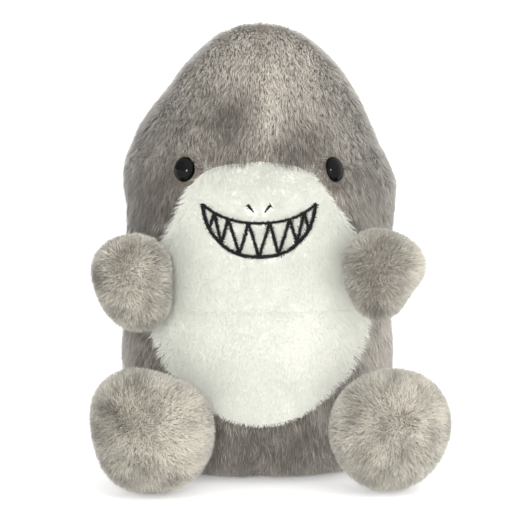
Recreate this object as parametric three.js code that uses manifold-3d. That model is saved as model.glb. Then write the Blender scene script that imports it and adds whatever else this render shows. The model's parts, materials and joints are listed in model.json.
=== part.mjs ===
// A sitting plush shark about 127 mm tall: a stuffed head and body in grey pile fabric, a white face and
// tummy, two stub arms, two ball feet, a dorsal fin and a tail, each sewn on by a short soft seam.
// Millimetres, +Z up, the face towards -Y. The origin is the middle of the flat base.
import * as THREE from "three";
import { mergeVertices } from "three/addons/utils/BufferGeometryUtils.js";
import Module from "manifold-3d";

// ---- Overall sizes ----
const BODY_HEIGHT = 127;
const BODY_HALF_WIDTH = 37.4; // at the hips, with the pile on
const NECK_HEIGHT = 48;

// ---- Cloth, thread and clearances ----
const SKIN = 3; // backing and laid-down pile together
const CLEARANCE = 0.3;
const THREAD = 0.5;
const SEAM = THREAD + 2 * CLEARANCE; // groove between two panels, with the thread in it
const THREAD_DEPTH = 1.5; // how far a seam's thread lies under the surface
const THREAD_END = 1.6; // how far a seam's thread stops before the seam that crosses it

// ---- Shape of the head and body, as shares of the two overall sizes ----
// [height, half width], from the rim of the flat base to the crown
const BODY_PROFILE = [
  [0, 0.64], [0.022, 0.79], [0.062, 0.885], [0.12, 0.945], [0.2, 0.985], [0.285, 1],
  [0.378, 0.968], [0.46, 0.965], [0.55, 0.983], [0.645, 0.99], [0.72, 0.93], [0.787, 0.83],
  [0.85, 0.715], [0.905, 0.575], [0.953, 0.405], [0.985, 0.235], [1, 0],
];
// [height, depth over half width] in front and behind
const FRONT_FULLNESS = [
  [0, 0.7], [0.06, 0.78], [0.3, 0.84], [0.6, 0.855], [0.79, 0.81], [0.93, 0.71], [1, 0.64],
];
const BACK_FULLNESS = [[0, 0.8], [0.06, 0.86], [0.3, 0.88], [0.45, 0.86], [0.65, 0.92], [0.8, 0.98], [1, 1]];

// ---- Places on the front: [x, z] as shares of the two overall sizes ----
const onFront = ([x, z]) => [x * BODY_HALF_WIDTH, z * BODY_HEIGHT];

// ---- White panels: right-hand side of the outline, from top to bottom ----
const WHITE_OUTLINE = [
  [0, 0.705], [0.32, 0.693], [0.492, 0.6575], [0.61, 0.59], [0.72, 0.52], [0.815, 0.41], [0.79, 0.339],
  [0.68, 0.252], [0.44, 0.177], [0.215, 0.14], [0, 0.13],
].map(onFront);

// ---- Base panel ----
const BASE_HALF_WIDTH = 0.588 * BODY_HALF_WIDTH;
const BASE_HALF_DEPTH = 0.428 * BODY_HALF_WIDTH;

// ---- Eyes: a domed button with a shank, held by a washer behind the cloth ----
const FACE_SHIFT = -0.3; // the eyes and the embroidery sit this far from the middle
const [EYE_X, EYE_Z] = onFront([0.56, 0.6845]);
const EYE_RADIUS = 3.5;
const EYE_DOME = 2.7;
const EYE_SINK = 1.8; // how deep the button sits in the pile
const SHANK_RADIUS = 1.4;
const SHANK_LENGTH = 7;
const WASHER_RADIUS = 4.6;
const WASHER_THICKNESS = 1.2;

// ---- Embroidery: satin stitch, on the surface of the face panel ----
const STITCH_WIDTH = 1.3;
const STITCH_HEIGHT = 0.7;
const OUTLINE_STEP = 2.5; // length of the straight stretches of the mouth's outline
const TOOTH_STEP = 4;
// the two lips, from the corner to the middle
const MOUTH_UPPER = [[0.412, 0.611], [0.291, 0.588], [0.144, 0.575], [0, 0.5715]].map(onFront);
const MOUTH_LOWER = [[0.412, 0.611], [0.364, 0.56], [0.251, 0.521], [0.134, 0.5035], [0, 0.499]].map(onFront);
const TOOTH_TOPS = [0.0775, 0.222, 0.3235].map((x) => x * BODY_HALF_WIDTH);
const TOOTH_FEET = [0, 0.14, 0.273, 0.36].map((x) => x * BODY_HALF_WIDTH);
const NOSTRIL = [[0.078, 0.609], [0.046, 0.5985]].map(onFront);

// ---- Arms, feet, fin and tail: [distance along the limb from its pivot, radius] ----
const ARM_ROOT_RADIUS = 4;
const ARM_PROFILE = [[1.2, 4.8], [4.8, 8.4], [9.6, 11], [14.6, 11.3], [19, 8.8], [21.5, 4.8]];
const ARM_LENGTH = 22.8;
const ARM_TALL = 1.12; // height over width of its section
const [ARM_X, ARM_Z] = onFront([0.8155, 0.449]);
const ARM_LIFT = 3; // degrees above level
const ARM_LEAN = 5; // degrees that the left arm is higher, and the right one lower
const ARM_OUTWARD = 2; // degrees that it points out from straight ahead
const ARM_TURN = 2; // degrees that both arms are turned towards the shark's right
const FOOT_ROOT_RADIUS = 4.5;
const FOOT_PROFILE = [[0.5, 5.2], [3, 10.4], [7.5, 15], [13.5, 16.6], [20, 15], [25.2, 10.8], [28.3, 5.4]];
const FOOT_LENGTH = 30;
const FOOT_CENTRE = 14; // how far from the pivot it is widest
const FOOT_X = 0.656 * BODY_HALF_WIDTH;
const FOOT_Z = 16.6;
const FOOT_CENTRE_Z = 17.7;
const FOOT_OUTWARD = 18;
const FOOT_LEAN = 2.75; // both feet sit this far towards the shark's left
const FOOT_SEAM_TILT = 16;
const LIMB_CLEARANCE = 0.8;
const ROOT_STITCH_AHEAD = -1; // along the limb from its pivot
const ROOT_STITCH_SPREAD = 0.9; // how far outside the root it runs
const FIN_SKIN = 2;
const FIN_THICKNESS = 8;
const FIN_ROOT_Z = [67, 91];
const FIN_REACH = 19;
const FIN_OUTLINE = [
  [0, -10], [0.5, -12], [1, -15], [0.86, -6], [0.55, 4], [0.25, 10], [0, 11], [-0.02, 0],
];
const FIN_HEART = [0.32, -2];
const TAIL_THICKNESS = 10;
const TAIL_ROOT_Z = [10, 24];
const TAIL_REACH = 25;
const TAIL_OUTLINE = [
  [0, -6], [0.4, -6], [0.68, -11], [0.95, -15], [0.88, -4], [0.84, 4], [1, 22], [0.7, 17], [0.42, 8],
  [0, 6.5], [-0.02, 0],
];
const TAIL_HEART = [0.55, 1.5];

// ---- Facets: [rings, turns] of the outside and of the inside of each form ----
const BODY_FACETS = [24, 36];
const BODY_INSIDE_FACETS = [15, 26];
const ARM_FACETS = [11, 16];
const FOOT_FACETS = [12, 18];
const LIMB_INSIDE_FACETS = [8, 12];
const PAD_FACETS = [6, 22];
const WHITE_EDGE_STEPS = 22; // along each half of the white outline
const THREAD_STEP = 3.2; // length of a seam thread's straight stretches

// ---- Filling ----
const POUCH_RADIUS = 0.508 * BODY_HALF_WIDTH;
const POUCH_HEIGHT = 22;
const POUCH_CLOTH = 0.8;
const POUCH_NECK = 4;
const POUCH_FLATNESS = 0.78; // depth over width

// ---- Care label and closing stitches ----
const LABEL_WIDTH = 11;
const LABEL_LENGTH = 9;
const LABEL_THICKNESS = 0.7;
const LABEL_Z = 13;
const LABEL_ANGLE = 135;
const CLOSING_Z = [28, 44];
const CLOSING_STITCHES = 6;
const CLOSING_HALF_WIDTH = 1.6;

const wasm = await Module();
wasm.setup();

// ---- Materials ----
function cloth(color, roughness = 0.95) {
  return new THREE.MeshStandardMaterial({ color, roughness, metalness: 0 });
}
const GREY_PILE = cloth(0x96897c);
const PALE_PILE = cloth(0xafa697);
const WHITE_PILE = cloth(0xecece4);
const FIBRE_FILL = cloth(0xf4f3ee);
const POUCH_CLOTH_MATERIAL = cloth(0xd9d3c4);
const BEADS = cloth(0xe6e6e6, 0.5);
const BLACK_THREAD = cloth(0x161414, 0.6);
const GREY_THREAD = cloth(0x7d756b, 0.8);
const SATIN = cloth(0xf2f2ef, 0.45);
const EYE_PLASTIC = cloth(0x0b0909, 0.08);
const WASHER_PLASTIC = cloth(0xe9e9e2, 0.4);

// ---- Solids ----
function solidOf(geometry) {
  const bare = geometry.index ? geometry.toNonIndexed() : geometry.clone();
  bare.deleteAttribute("normal");
  bare.deleteAttribute("uv");
  const merged = mergeVertices(bare, 1e-3);
  return new wasm.Manifold(
    new wasm.Mesh({
      numProp: 3,
      vertProperties: merged.attributes.position.array,
      triVerts: new Uint32Array(merged.index.array),
    }),
  );
}

function geometryOf(solid) {
  const made = solid.getMesh();
  const geometry = new THREE.BufferGeometry();
  geometry.setAttribute("position", new THREE.BufferAttribute(made.vertProperties, 3));
  geometry.setIndex(new THREE.BufferAttribute(made.triVerts, 1));
  geometry.computeVertexNormals();
  return geometry;
}

const shark = new THREE.Group();
function addPiece(name, solid, material) {
  const mesh = new THREE.Mesh(geometryOf(solid), material);
  mesh.name = name;
  shark.add(mesh);
  return mesh;
}

function boxSolid(low, high) {
  const size = high.map((h, i) => h - low[i]);
  const geometry = new THREE.BoxGeometry(...size);
  geometry.translate(...low.map((l, i) => l + size[i] / 2));
  return solidOf(geometry);
}

const FAR = 200; // further than any part reaches

// ---- Head and body form ----
function along(stations, at) {
  const next = Math.max(stations.findIndex(([h]) => h >= at), 1);
  const [h0, v0] = stations[next - 1];
  const [h1, v1] = stations[next];
  return v0 + ((v1 - v0) * (at - h0)) / (h1 - h0);
}

const bodyProfile = new THREE.SplineCurve(
  BODY_PROFILE.map(([h, w]) => new THREE.Vector2(w * BODY_HALF_WIDTH, h * BODY_HEIGHT)),
);
const PROFILE_TABLE = bodyProfile.getPoints(400);

function halfWidthAt(z) {
  const next = PROFILE_TABLE.findIndex((p) => p.y >= z);
  if (next <= 0) return PROFILE_TABLE[0].x;
  const [a, b] = [PROFILE_TABLE[next - 1], PROFILE_TABLE[next]];
  return a.x + ((b.x - a.x) * (z - a.y)) / (b.y - a.y);
}

function fullness(z, y) {
  return along(y < 0 ? FRONT_FULLNESS : BACK_FULLNESS, THREE.MathUtils.clamp(z / BODY_HEIGHT, 0, 1));
}

// The point of the surface at a height and a turn: 0 is +X, 90 degrees the back, -90 degrees the front.
function surfaceAtAngle(angle, z) {
  const w = halfWidthAt(z);
  const y = w * Math.sin(angle);
  return new THREE.Vector3(w * Math.cos(angle), y * fullness(z, y), z);
}

function surfaceNormal(angle, z) {
  const step = 0.01;
  const across = surfaceAtAngle(angle + step, z).sub(surfaceAtAngle(angle - step, z));
  const up = surfaceAtAngle(angle, z + 0.5).sub(surfaceAtAngle(angle, z - 0.5));
  return across.cross(up).normalize();
}

// The angle of the point of the front (side -1) or back (side 1) that has this x.
function angleAt(x, z, side) {
  const turn = Math.acos(THREE.MathUtils.clamp(x / halfWidthAt(z), -1, 1));
  return side * turn;
}

function onSurface(x, z, side, out = 0) {
  const angle = angleAt(x, z, side);
  return surfaceAtAngle(angle, z).addScaledVector(surfaceNormal(angle, z), out);
}

// The point of the front with this x and z that lies depth under the surface.
function underFront(x, z, depth) {
  const angle = angleAt(x, z, -1);
  const point = surfaceAtAngle(angle, z);
  point.y -= depth / surfaceNormal(angle, z).y;
  return point;
}

// The whole form, moved inwards by inset, as one closed solid.
function bodyForm(inset, [rings, turns]) {
  const outline = bodyProfile.getSpacedPoints(rings);
  const points = outline.map((p, i) => {
    const before = outline[Math.max(i - 1, 0)];
    const after = outline[Math.min(i + 1, rings)];
    const run = after.clone().sub(before).normalize();
    const inward = new THREE.Vector2(-run.y, run.x);
    return p.clone().addScaledVector(inward, inset);
  });
  points[0].y = inset;
  points[rings].set(0, BODY_HEIGHT - inset);
  const profile = [new THREE.Vector2(0, inset), ...points];
  const geometry = new THREE.LatheGeometry(profile, turns);
  geometry.rotateX(Math.PI / 2);
  const at = geometry.attributes.position;
  for (let i = 0; i < at.count; i++) {
    const [x, y, z] = [at.getX(i), at.getY(i), at.getZ(i)];
    const w = Math.hypot(x, y);
    if (w < 1e-6) continue;
    // the depth loses the same inset as the width
    const depth = (w + inset) * fullness(z, y) - inset;
    at.setY(i, (y / w) * Math.max(depth, 0.01));
  }
  return solidOf(geometry);
}

// ---- White outline, as a prism along Y through the front ----
function whiteHalf() {
  const curve = new THREE.SplineCurve(WHITE_OUTLINE.map(([x, z]) => new THREE.Vector2(x, z)));
  return curve.getSpacedPoints(WHITE_EDGE_STEPS);
}

function whitePoints(grow) {
  const right = whiteHalf();
  const left = right.slice(1, -1).reverse().map((p) => new THREE.Vector2(-p.x, p.y));
  const loop = [...right, ...left];
  return loop.map((p, i) => {
    const before = loop[(i + loop.length - 1) % loop.length];
    const after = loop[(i + 1) % loop.length];
    const run = after.clone().sub(before).normalize();
    return p.clone().addScaledVector(new THREE.Vector2(-run.y, run.x), grow);
  });
}

function whitePrism(grow) {
  const shape = new THREE.Shape(whitePoints(grow));
  const geometry = new THREE.ExtrudeGeometry(shape, { depth: FAR, bevelEnabled: false });
  geometry.rotateX(Math.PI / 2); // the outline stands up, and the depth runs to -Y
  geometry.translate(0, -1, 0);
  return solidOf(geometry);
}

function basePrism(grow) {
  const shape = new THREE.Shape();
  shape.absellipse(0, 0, BASE_HALF_WIDTH + grow, BASE_HALF_DEPTH + grow, 0, Math.PI * 2);
  const settings = { depth: 2 * SKIN, bevelEnabled: false, curveSegments: 14 };
  const geometry = new THREE.ExtrudeGeometry(shape, settings);
  geometry.translate(0, 0, -SKIN);
  return solidOf(geometry);
}

// ---- Threads ----
function section(width, height, sides = 4) {
  const shape = new THREE.Shape();
  for (let i = 0; i < sides; i++) {
    const turn = ((i + 0.5) / sides) * Math.PI * 2;
    const [x, y] = [(Math.cos(turn) * height) / 2, (Math.sin(turn) * width) / 2];
    if (i) shape.lineTo(x, y);
    else shape.moveTo(x, y);
  }
  shape.closePath();
  return shape;
}

function openThread(points, step, width = THREAD, height = width) {
  const path = new THREE.CatmullRomCurve3(points);
  const settings = { steps: Math.ceil(path.getLength() / step), extrudePath: path, bevelEnabled: false };
  return solidOf(new THREE.ExtrudeGeometry(section(width, height), settings));
}

function ringThread(pointAt, steps) {
  const points = Array.from({ length: steps }, (_, i) => pointAt((i / steps) * Math.PI * 2));
  const path = new THREE.CatmullRomCurve3(points, true);
  return solidOf(new THREE.TubeGeometry(path, steps, THREAD / 2, 4, true));
}

// ---- Eyes ----
function eyeFrame(side) {
  const angle = angleAt(side * EYE_X + FACE_SHIFT, EYE_Z, -1);
  const frame = new THREE.Matrix4();
  const out = surfaceNormal(angle, EYE_Z);
  const turn = new THREE.Quaternion().setFromUnitVectors(new THREE.Vector3(0, 0, 1), out);
  return frame.compose(surfaceAtAngle(angle, EYE_Z), turn, new THREE.Vector3(1, 1, 1));
}

// A round piece on the eye's axis: its profile is [radius, height over the cloth's surface].
function onEyeAxis(side, profile, turns = 16) {
  const geometry = new THREE.LatheGeometry(profile.map(([r, h]) => new THREE.Vector2(r, h)), turns);
  geometry.rotateX(Math.PI / 2);
  geometry.applyMatrix4(eyeFrame(side));
  return solidOf(geometry);
}

function eyeButton(side) {
  const rim = -EYE_SINK;
  const dome = [0.25, 0.5, 0.75].map((t) => {
    const turn = (t * Math.PI) / 2;
    return [EYE_RADIUS * Math.cos(turn), rim + 0.5 + (EYE_DOME - 0.5) * Math.sin(turn)];
  });
  const foot = rim - SHANK_LENGTH;
  return onEyeAxis(side, [
    [0, foot], [SHANK_RADIUS, foot], [SHANK_RADIUS, rim], [EYE_RADIUS, rim], [EYE_RADIUS, rim + 0.5], ...dome,
    [0, rim + EYE_DOME],
  ]);
}

// The seat of the button in the pile, the shank's hole, and the washer's print in the backing.
function eyeHole(side) {
  const [seat, hole, print] = [EYE_RADIUS, SHANK_RADIUS, WASHER_RADIUS].map((r) => r + CLEARANCE);
  const floor = -EYE_SINK - CLEARANCE;
  return onEyeAxis(side, [
    [0, -3 * SKIN], [print, -3 * SKIN], [print, -SKIN], [hole, -SKIN], [hole, floor], [seat, floor],
    [seat, 2 * SKIN], [0, 2 * SKIN],
  ]);
}

function eyeWasher(side) {
  const top = -SKIN - CLEARANCE;
  const [inner, outer] = [SHANK_RADIUS + CLEARANCE, WASHER_RADIUS];
  const foot = top - WASHER_THICKNESS;
  return onEyeAxis(side, [[inner, foot], [outer, foot], [outer, top], [inner, top], [inner, foot]]);
}

function washerPocket(side) {
  const r = WASHER_RADIUS + CLEARANCE;
  const foot = -EYE_SINK - SHANK_LENGTH - CLEARANCE;
  return onEyeAxis(side, [[0, foot], [r, foot], [r, SKIN], [0, SKIN]]);
}

// ---- Head and body ----
function buildHeadAndBody() {
  const outer = bodyForm(0, BODY_FACETS);
  const inner = bodyForm(SKIN, BODY_INSIDE_FACETS);
  const whiteOuter = whitePrism(SEAM / 2);
  const whiteInner = whitePrism(-SEAM / 2);
  const shell = outer.subtract(inner);
  const above = boxSolid([-FAR, -FAR, NECK_HEIGHT + SEAM / 2], [FAR, FAR, FAR]);
  const below = boxSolid([-FAR, -FAR, -FAR], [FAR, FAR, NECK_HEIGHT - SEAM / 2]);

  const grey = shell.subtract(whiteOuter);
  const holes = eyeHole(-1).add(eyeHole(1));
  const hood = grey.intersect(above).subtract(holes);
  const leftSide = boxSolid([SEAM / 2, -FAR, -FAR], [FAR, FAR, FAR]);
  const rightSide = boxSolid([-FAR, -FAR, -FAR], [-SEAM / 2, FAR, FAR]);
  addPiece("head_skin_left", hood.intersect(leftSide), GREY_PILE);
  addPiece("head_skin_right", hood.intersect(rightSide), GREY_PILE);

  const backSeam = boxSolid([-SEAM / 2, 0, -FAR], [SEAM / 2, FAR, FAR]);
  const bodySkin = grey.intersect(below).subtract(basePrism(SEAM / 2)).subtract(backSeam);
  addPiece("body_skin", bodySkin, GREY_PILE);
  addPiece("base_panel", shell.intersect(basePrism(-SEAM / 2)), GREY_PILE);

  const white = shell.intersect(whiteInner);
  addPiece("face_panel", white.intersect(above).subtract(holes), WHITE_PILE);
  addPiece("tummy_panel", white.intersect(below), WHITE_PILE);

  const fill = bodyForm(SKIN + CLEARANCE, BODY_INSIDE_FACETS);
  const pockets = washerPocket(-1).add(washerPocket(1));
  addPiece("head_stuffing", fill.intersect(above).subtract(pockets), FIBRE_FILL);
  addPiece("body_stuffing", fill.intersect(below).subtract(pouchForm(CLEARANCE, 0)), FIBRE_FILL);
  addPiece("bead_pouch", pouchBag(), POUCH_CLOTH_MATERIAL);
  const lining = POUCH_CLOTH + CLEARANCE;
  addPiece("pouch_beads", pouchForm(-lining, POUCH_FLOOR + lining), BEADS);

  for (const [side, word] of [[1, "left"], [-1, "right"]]) {
    addPiece("eye_" + word, eyeButton(side), EYE_PLASTIC);
    addPiece("eye_washer_" + word, eyeWasher(side), WASHER_PLASTIC);
  }
}

// The bag of beads on the base panel, swollen by swell and standing on foot.
const POUCH_FLOOR = SKIN + CLEARANCE;
const POUCH_TOP = POUCH_FLOOR + POUCH_HEIGHT;
function turnedUpright(profile) {
  const geometry = new THREE.LatheGeometry(profile.map(([r, h]) => new THREE.Vector2(r, h)), 24);
  geometry.rotateX(Math.PI / 2);
  geometry.scale(1, POUCH_FLATNESS, 1);
  return solidOf(geometry);
}

function pouchForm(swell, foot) {
  return turnedUpright([
    [0, foot],
    [POUCH_RADIUS * 0.72 + swell, foot],
    [POUCH_RADIUS + swell, POUCH_FLOOR + POUCH_HEIGHT * 0.28],
    [POUCH_RADIUS * 0.9 + swell, POUCH_FLOOR + POUCH_HEIGHT * 0.6 + swell],
    [POUCH_NECK + swell, POUCH_TOP + swell],
    [0, POUCH_TOP + swell],
  ]);
}

function pouchBag() {
  const mouth = POUCH_NECK - POUCH_CLOTH;
  const low = POUCH_FLOOR + POUCH_HEIGHT / 2;
  const opening = turnedUpright([[0, low], [mouth, low], [mouth, POUCH_TOP + 1], [0, POUCH_TOP + 1]]);
  const inside = pouchForm(-POUCH_CLOTH, POUCH_FLOOR + POUCH_CLOTH);
  return pouchForm(0, POUCH_FLOOR).subtract(inside).subtract(opening);
}

// ---- Seams ----
function buildSeams() {
  const inset = -THREAD_DEPTH;
  const neckRing = (turn) =>
    surfaceAtAngle(turn, NECK_HEIGHT).addScaledVector(surfaceNormal(turn, NECK_HEIGHT), inset);
  addPiece("neck_seam_thread", ringThread(neckRing, 32), GREY_THREAD);

  const baseRing = (turn) =>
    new THREE.Vector3(BASE_HALF_WIDTH * Math.cos(turn), BASE_HALF_DEPTH * Math.sin(turn), THREAD_DEPTH);
  addPiece("base_seam_thread", ringThread(baseRing, 24), GREY_THREAD);

  const edge = whiteHalf();
  const half = (points) => points.map((p) => underFront(p.x, p.y, THREAD_DEPTH));
  const mirrored = (points) => points.map((p) => new THREE.Vector3(-p.x, p.y, p.z)).reverse();
  const upper = half(edge.filter((p) => p.y > NECK_HEIGHT + THREAD_END));
  const lower = half(edge.filter((p) => p.y < NECK_HEIGHT - THREAD_END));
  const faceSeam = [...mirrored(upper), ...upper.slice(1)];
  const tummySeam = [...lower.slice(0, -1), ...mirrored(lower)];
  addPiece("face_seam_thread", openThread(faceSeam, THREAD_STEP), GREY_THREAD);
  addPiece("tummy_seam_thread", openThread(tummySeam, THREAD_STEP), GREY_THREAD);

  const top = edge[0].y + THREAD_END;
  const bend = BODY_HEIGHT - 2 * SKIN; // above this the seam turns over the crown
  const between = (from, to, count, side) => {
    const rise = (to - from) / (count - 1);
    return Array.from({ length: count }, (_, i) => onSurface(0, from + rise * i, side, inset));
  };
  const front = between(top, bend, 12, -1);
  const crown = new THREE.Vector3(0, 0, BODY_HEIGHT - THREAD_DEPTH);
  const back = between(bend, NECK_HEIGHT + THREAD_END, 14, 1);
  addPiece("crown_seam_thread", openThread([...front, crown, ...back], 1.3 * THREAD_STEP), GREY_THREAD);

  const count = 2 * CLOSING_STITCHES;
  const ladder = Array.from({ length: count + 1 }, (_, i) => {
    const z = CLOSING_Z[0] + ((CLOSING_Z[1] - CLOSING_Z[0]) * i) / count;
    return onSurface(i % 2 ? CLOSING_HALF_WIDTH : -CLOSING_HALF_WIDTH, z, 1, THREAD / 2 + CLEARANCE);
  });
  addPiece("back_closing_stitch", openThread(ladder, THREAD_STEP / 2), GREY_THREAD);
}

// ---- Embroidery ----
const STITCH_OUT = STITCH_HEIGHT / 2 + CLEARANCE;
function stitchLine(points, step, width = STITCH_WIDTH) {
  const path = points.map(([x, z]) => onSurface(x + FACE_SHIFT, z, -1, STITCH_OUT));
  return openThread(path, step, width, STITCH_HEIGHT);
}

function heightOn(outline, x) {
  const curve = new THREE.SplineCurve(outline.map(([a, b]) => new THREE.Vector2(a, b))).getPoints(80);
  const next = curve.findIndex((p) => p.x <= x);
  return curve[next < 0 ? curve.length - 1 : next].y;
}

function buildEmbroidery() {
  const mirror = (points) => points.map(([x, z]) => [-x, z]).reverse();
  const lip = (half) => stitchLine([...half, ...mirror(half).slice(1)], OUTLINE_STEP);
  let mouth = lip(MOUTH_UPPER).add(lip(MOUTH_LOWER));
  const tops = TOOTH_TOPS.map((x) => [x, heightOn(MOUTH_UPPER, x)]);
  const feet = TOOTH_FEET.map((x) => [x, heightOn(MOUTH_LOWER, x)]);
  const sides = tops.flatMap((top, i) => [[top, feet[i]], [top, feet[i + 1]]]);
  for (const [top, foot] of sides) {
    for (const side of [-1, 1]) {
      const middle = [(top[0] + foot[0]) / 2, (top[1] + foot[1]) / 2];
      const points = [top, middle, foot].map(([x, z]) => [side * x, z]);
      mouth = mouth.add(stitchLine(points, TOOTH_STEP, STITCH_WIDTH * 0.8));
    }
  }
  addPiece("mouth_embroidery", mouth, BLACK_THREAD);
  for (const [side, word] of [[1, "left"], [-1, "right"]]) {
    const nostril = stitchLine(NOSTRIL.map(([x, z]) => [side * x, z]), THREAD, STITCH_WIDTH * 0.9);
    addPiece("nostril_embroidery_" + word, nostril, BLACK_THREAD);
  }
}

// ---- Limbs ----
// A round limb along +Z from its pivot, moved inwards by inset: a ball root, a swelling and a round end.
function limbSolid(profile, root, length, tall, inset, [rings, turns]) {
  const rear = [0.3, 0.65].map((t) => new THREE.Vector2(root * Math.sin(t * 1.5), -root * Math.cos(t * 1.5)));
  const points = [new THREE.Vector2(0, -root), ...rear, ...profile.map(([s, r]) => new THREE.Vector2(r, s)),
    new THREE.Vector2(0, length)];
  const curve = new THREE.SplineCurve(points).getSpacedPoints(rings);
  const moved = curve.map((p, i) => {
    const run = curve[Math.min(i + 1, rings)].clone().sub(curve[Math.max(i - 1, 0)]).normalize();
    const at = p.clone().addScaledVector(new THREE.Vector2(-run.y, run.x), inset);
    at.x = Math.max(at.x, 0.2);
    return at;
  });
  moved[0].set(0, -root + inset);
  moved[rings].set(0, length - inset);
  const [foot, tip] = [moved[0], moved[rings]];
  const kept = moved.filter((p) => p === foot || p === tip || (p.y > foot.y + 0.2 && p.y < tip.y - 0.2));
  const geometry = new THREE.LatheGeometry(kept, turns);
  geometry.scale(1, 1, tall); // the section is taller than it is wide
  return solidOf(geometry);
}

// Where a limb stands: its pivot off the surface, its direction outwards from straight ahead, and its rise.
function limbFrame(side, x, z, root, outward, rise) {
  const angle = angleAt(side * x, z, -1);
  const pivot = surfaceAtAngle(angle, z).addScaledVector(surfaceNormal(angle, z), root + LIMB_CLEARANCE);
  const turn = new THREE.Matrix4().makeRotationZ(side * THREE.MathUtils.degToRad(outward));
  const lift = new THREE.Matrix4().makeRotationX(-rise);
  const flip = new THREE.Matrix4().makeRotationX(Math.PI); // the lathe's +Y becomes -Y, the way ahead
  return new THREE.Matrix4().makeTranslation(pivot).multiply(turn).multiply(lift).multiply(flip);
}

function placed(solid, frame) {
  const geometry = geometryOf(solid);
  geometry.applyMatrix4(frame);
  return solidOf(geometry);
}

// The ring of ladder stitch that sews a limb on, around its root.
function rootStitch(radius, frame) {
  const ring = (turn) => {
    const [across, up] = [radius * Math.cos(turn), radius * Math.sin(turn)];
    return new THREE.Vector3(across, ROOT_STITCH_AHEAD, up);
  };
  return placed(ringThread(ring, 20), frame);
}

function buildArm(side, word) {
  const rise = THREE.MathUtils.degToRad(ARM_LIFT + side * ARM_LEAN);
  const frame = limbFrame(side, ARM_X, ARM_Z, ARM_ROOT_RADIUS, ARM_OUTWARD - side * ARM_TURN, rise);
  const form = (inset, facets) =>
    limbSolid(ARM_PROFILE, ARM_ROOT_RADIUS, ARM_LENGTH, ARM_TALL, inset, facets);
  const shell = form(0, ARM_FACETS).subtract(form(SKIN, LIMB_INSIDE_FACETS));
  const outer = boxSolid([CLEARANCE / 2, -FAR, -FAR], [FAR, FAR, FAR]);
  const inner = boxSolid([-FAR, -FAR, -FAR], [-CLEARANCE / 2, FAR, FAR]);
  const [out, into] = side > 0 ? [outer, inner] : [inner, outer];
  addPiece(`arm_${word}_outer_skin`, placed(shell.intersect(out), frame), PALE_PILE);
  addPiece(`arm_${word}_inner_skin`, placed(shell.intersect(into), frame), PALE_PILE);
  const stitch = rootStitch(ARM_ROOT_RADIUS + ROOT_STITCH_SPREAD, frame);
  addPiece(`arm_${word}_root_stitch`, stitch, GREY_THREAD);
  addPiece(`arm_${word}_stuffing`, placed(form(SKIN + CLEARANCE, LIMB_INSIDE_FACETS), frame), FIBRE_FILL);
}

function buildFoot(side, word) {
  const rise = Math.asin((FOOT_CENTRE_Z - FOOT_Z) / FOOT_CENTRE);
  const frame = limbFrame(side, FOOT_X + side * FOOT_LEAN, FOOT_Z, FOOT_ROOT_RADIUS, FOOT_OUTWARD, rise);
  const form = (inset, facets) =>
    limbSolid(FOOT_PROFILE, FOOT_ROOT_RADIUS, FOOT_LENGTH, 1, inset, facets);
  const shell = form(0, FOOT_FACETS).subtract(form(SKIN, LIMB_INSIDE_FACETS));
  // the seam runs round the foot on a plane through the pivot, tilted up towards the toes
  const tilt = new THREE.Matrix4().makeRotationX(THREE.MathUtils.degToRad(FOOT_SEAM_TILT));
  const upperHalf = placed(boxSolid([-FAR, -FAR, -FAR], [FAR, FAR, -CLEARANCE / 2]), tilt);
  const lowerHalf = placed(boxSolid([-FAR, -FAR, CLEARANCE / 2], [FAR, FAR, FAR]), tilt);
  addPiece(`foot_${word}_upper_skin`, placed(shell.intersect(upperHalf), frame), PALE_PILE);
  addPiece(`foot_${word}_lower_skin`, placed(shell.intersect(lowerHalf), frame), PALE_PILE);
  addPiece(`foot_${word}_root_stitch`, rootStitch(FOOT_ROOT_RADIUS + ROOT_STITCH_SPREAD, frame), GREY_THREAD);
  addPiece(`foot_${word}_beads`, placed(form(SKIN + CLEARANCE, LIMB_INSIDE_FACETS), frame), BEADS);
}

// ---- Fin and tail: flat pads in the plane X = 0, fullest at their heart and thin along their outline ----
function padSolid(outline, heart, thickness, inset) {
  const [rings, turns] = PAD_FACETS;
  const points = outline.map(([y, z]) => new THREE.Vector3(0, y, z));
  const rim = new THREE.CatmullRomCurve3(points, true, "centripetal").getSpacedPoints(turns);
  const middle = new THREE.Vector3(0, ...heart);
  const geometry = new THREE.SphereGeometry(1, turns, rings);
  const at = geometry.attributes.position;
  for (let i = 0; i < at.count; i++) {
    const turn = i % (turns + 1);
    const polar = (Math.floor(i / (turns + 1)) / rings) * Math.PI;
    const spoke = rim[turn % turns].clone().sub(middle);
    const reach = Math.max(spoke.length() - inset, 1) * Math.sin(polar) ** 0.8;
    const point = middle.clone().addScaledVector(spoke.normalize(), reach);
    point.x = Math.cos(polar) * (thickness / 2 - inset);
    at.setXYZ(i, point.x, point.y, point.z);
  }
  return solidOf(geometry);
}

function buildPad(name, outline, heart, thickness, skin) {
  const shell = padSolid(outline, heart, thickness, 0).subtract(padSolid(outline, heart, thickness, skin));
  const left = boxSolid([CLEARANCE / 2, -FAR, -FAR], [FAR, FAR, FAR]);
  const right = boxSolid([-FAR, -FAR, -FAR], [-CLEARANCE / 2, FAR, FAR]);
  addPiece(name + "_skin_left", shell.intersect(left), GREY_PILE);
  addPiece(name + "_skin_right", shell.intersect(right), GREY_PILE);
  addPiece(name + "_stuffing", padSolid(outline, heart, thickness, skin + CLEARANCE), FIBRE_FILL);
}

function furthestBack(low, high) {
  const heights = Array.from({ length: 9 }, (_, i) => low + ((high - low) * i) / 8);
  return Math.max(...heights.map((z) => surfaceAtAngle(Math.PI / 2, z).y));
}

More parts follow.
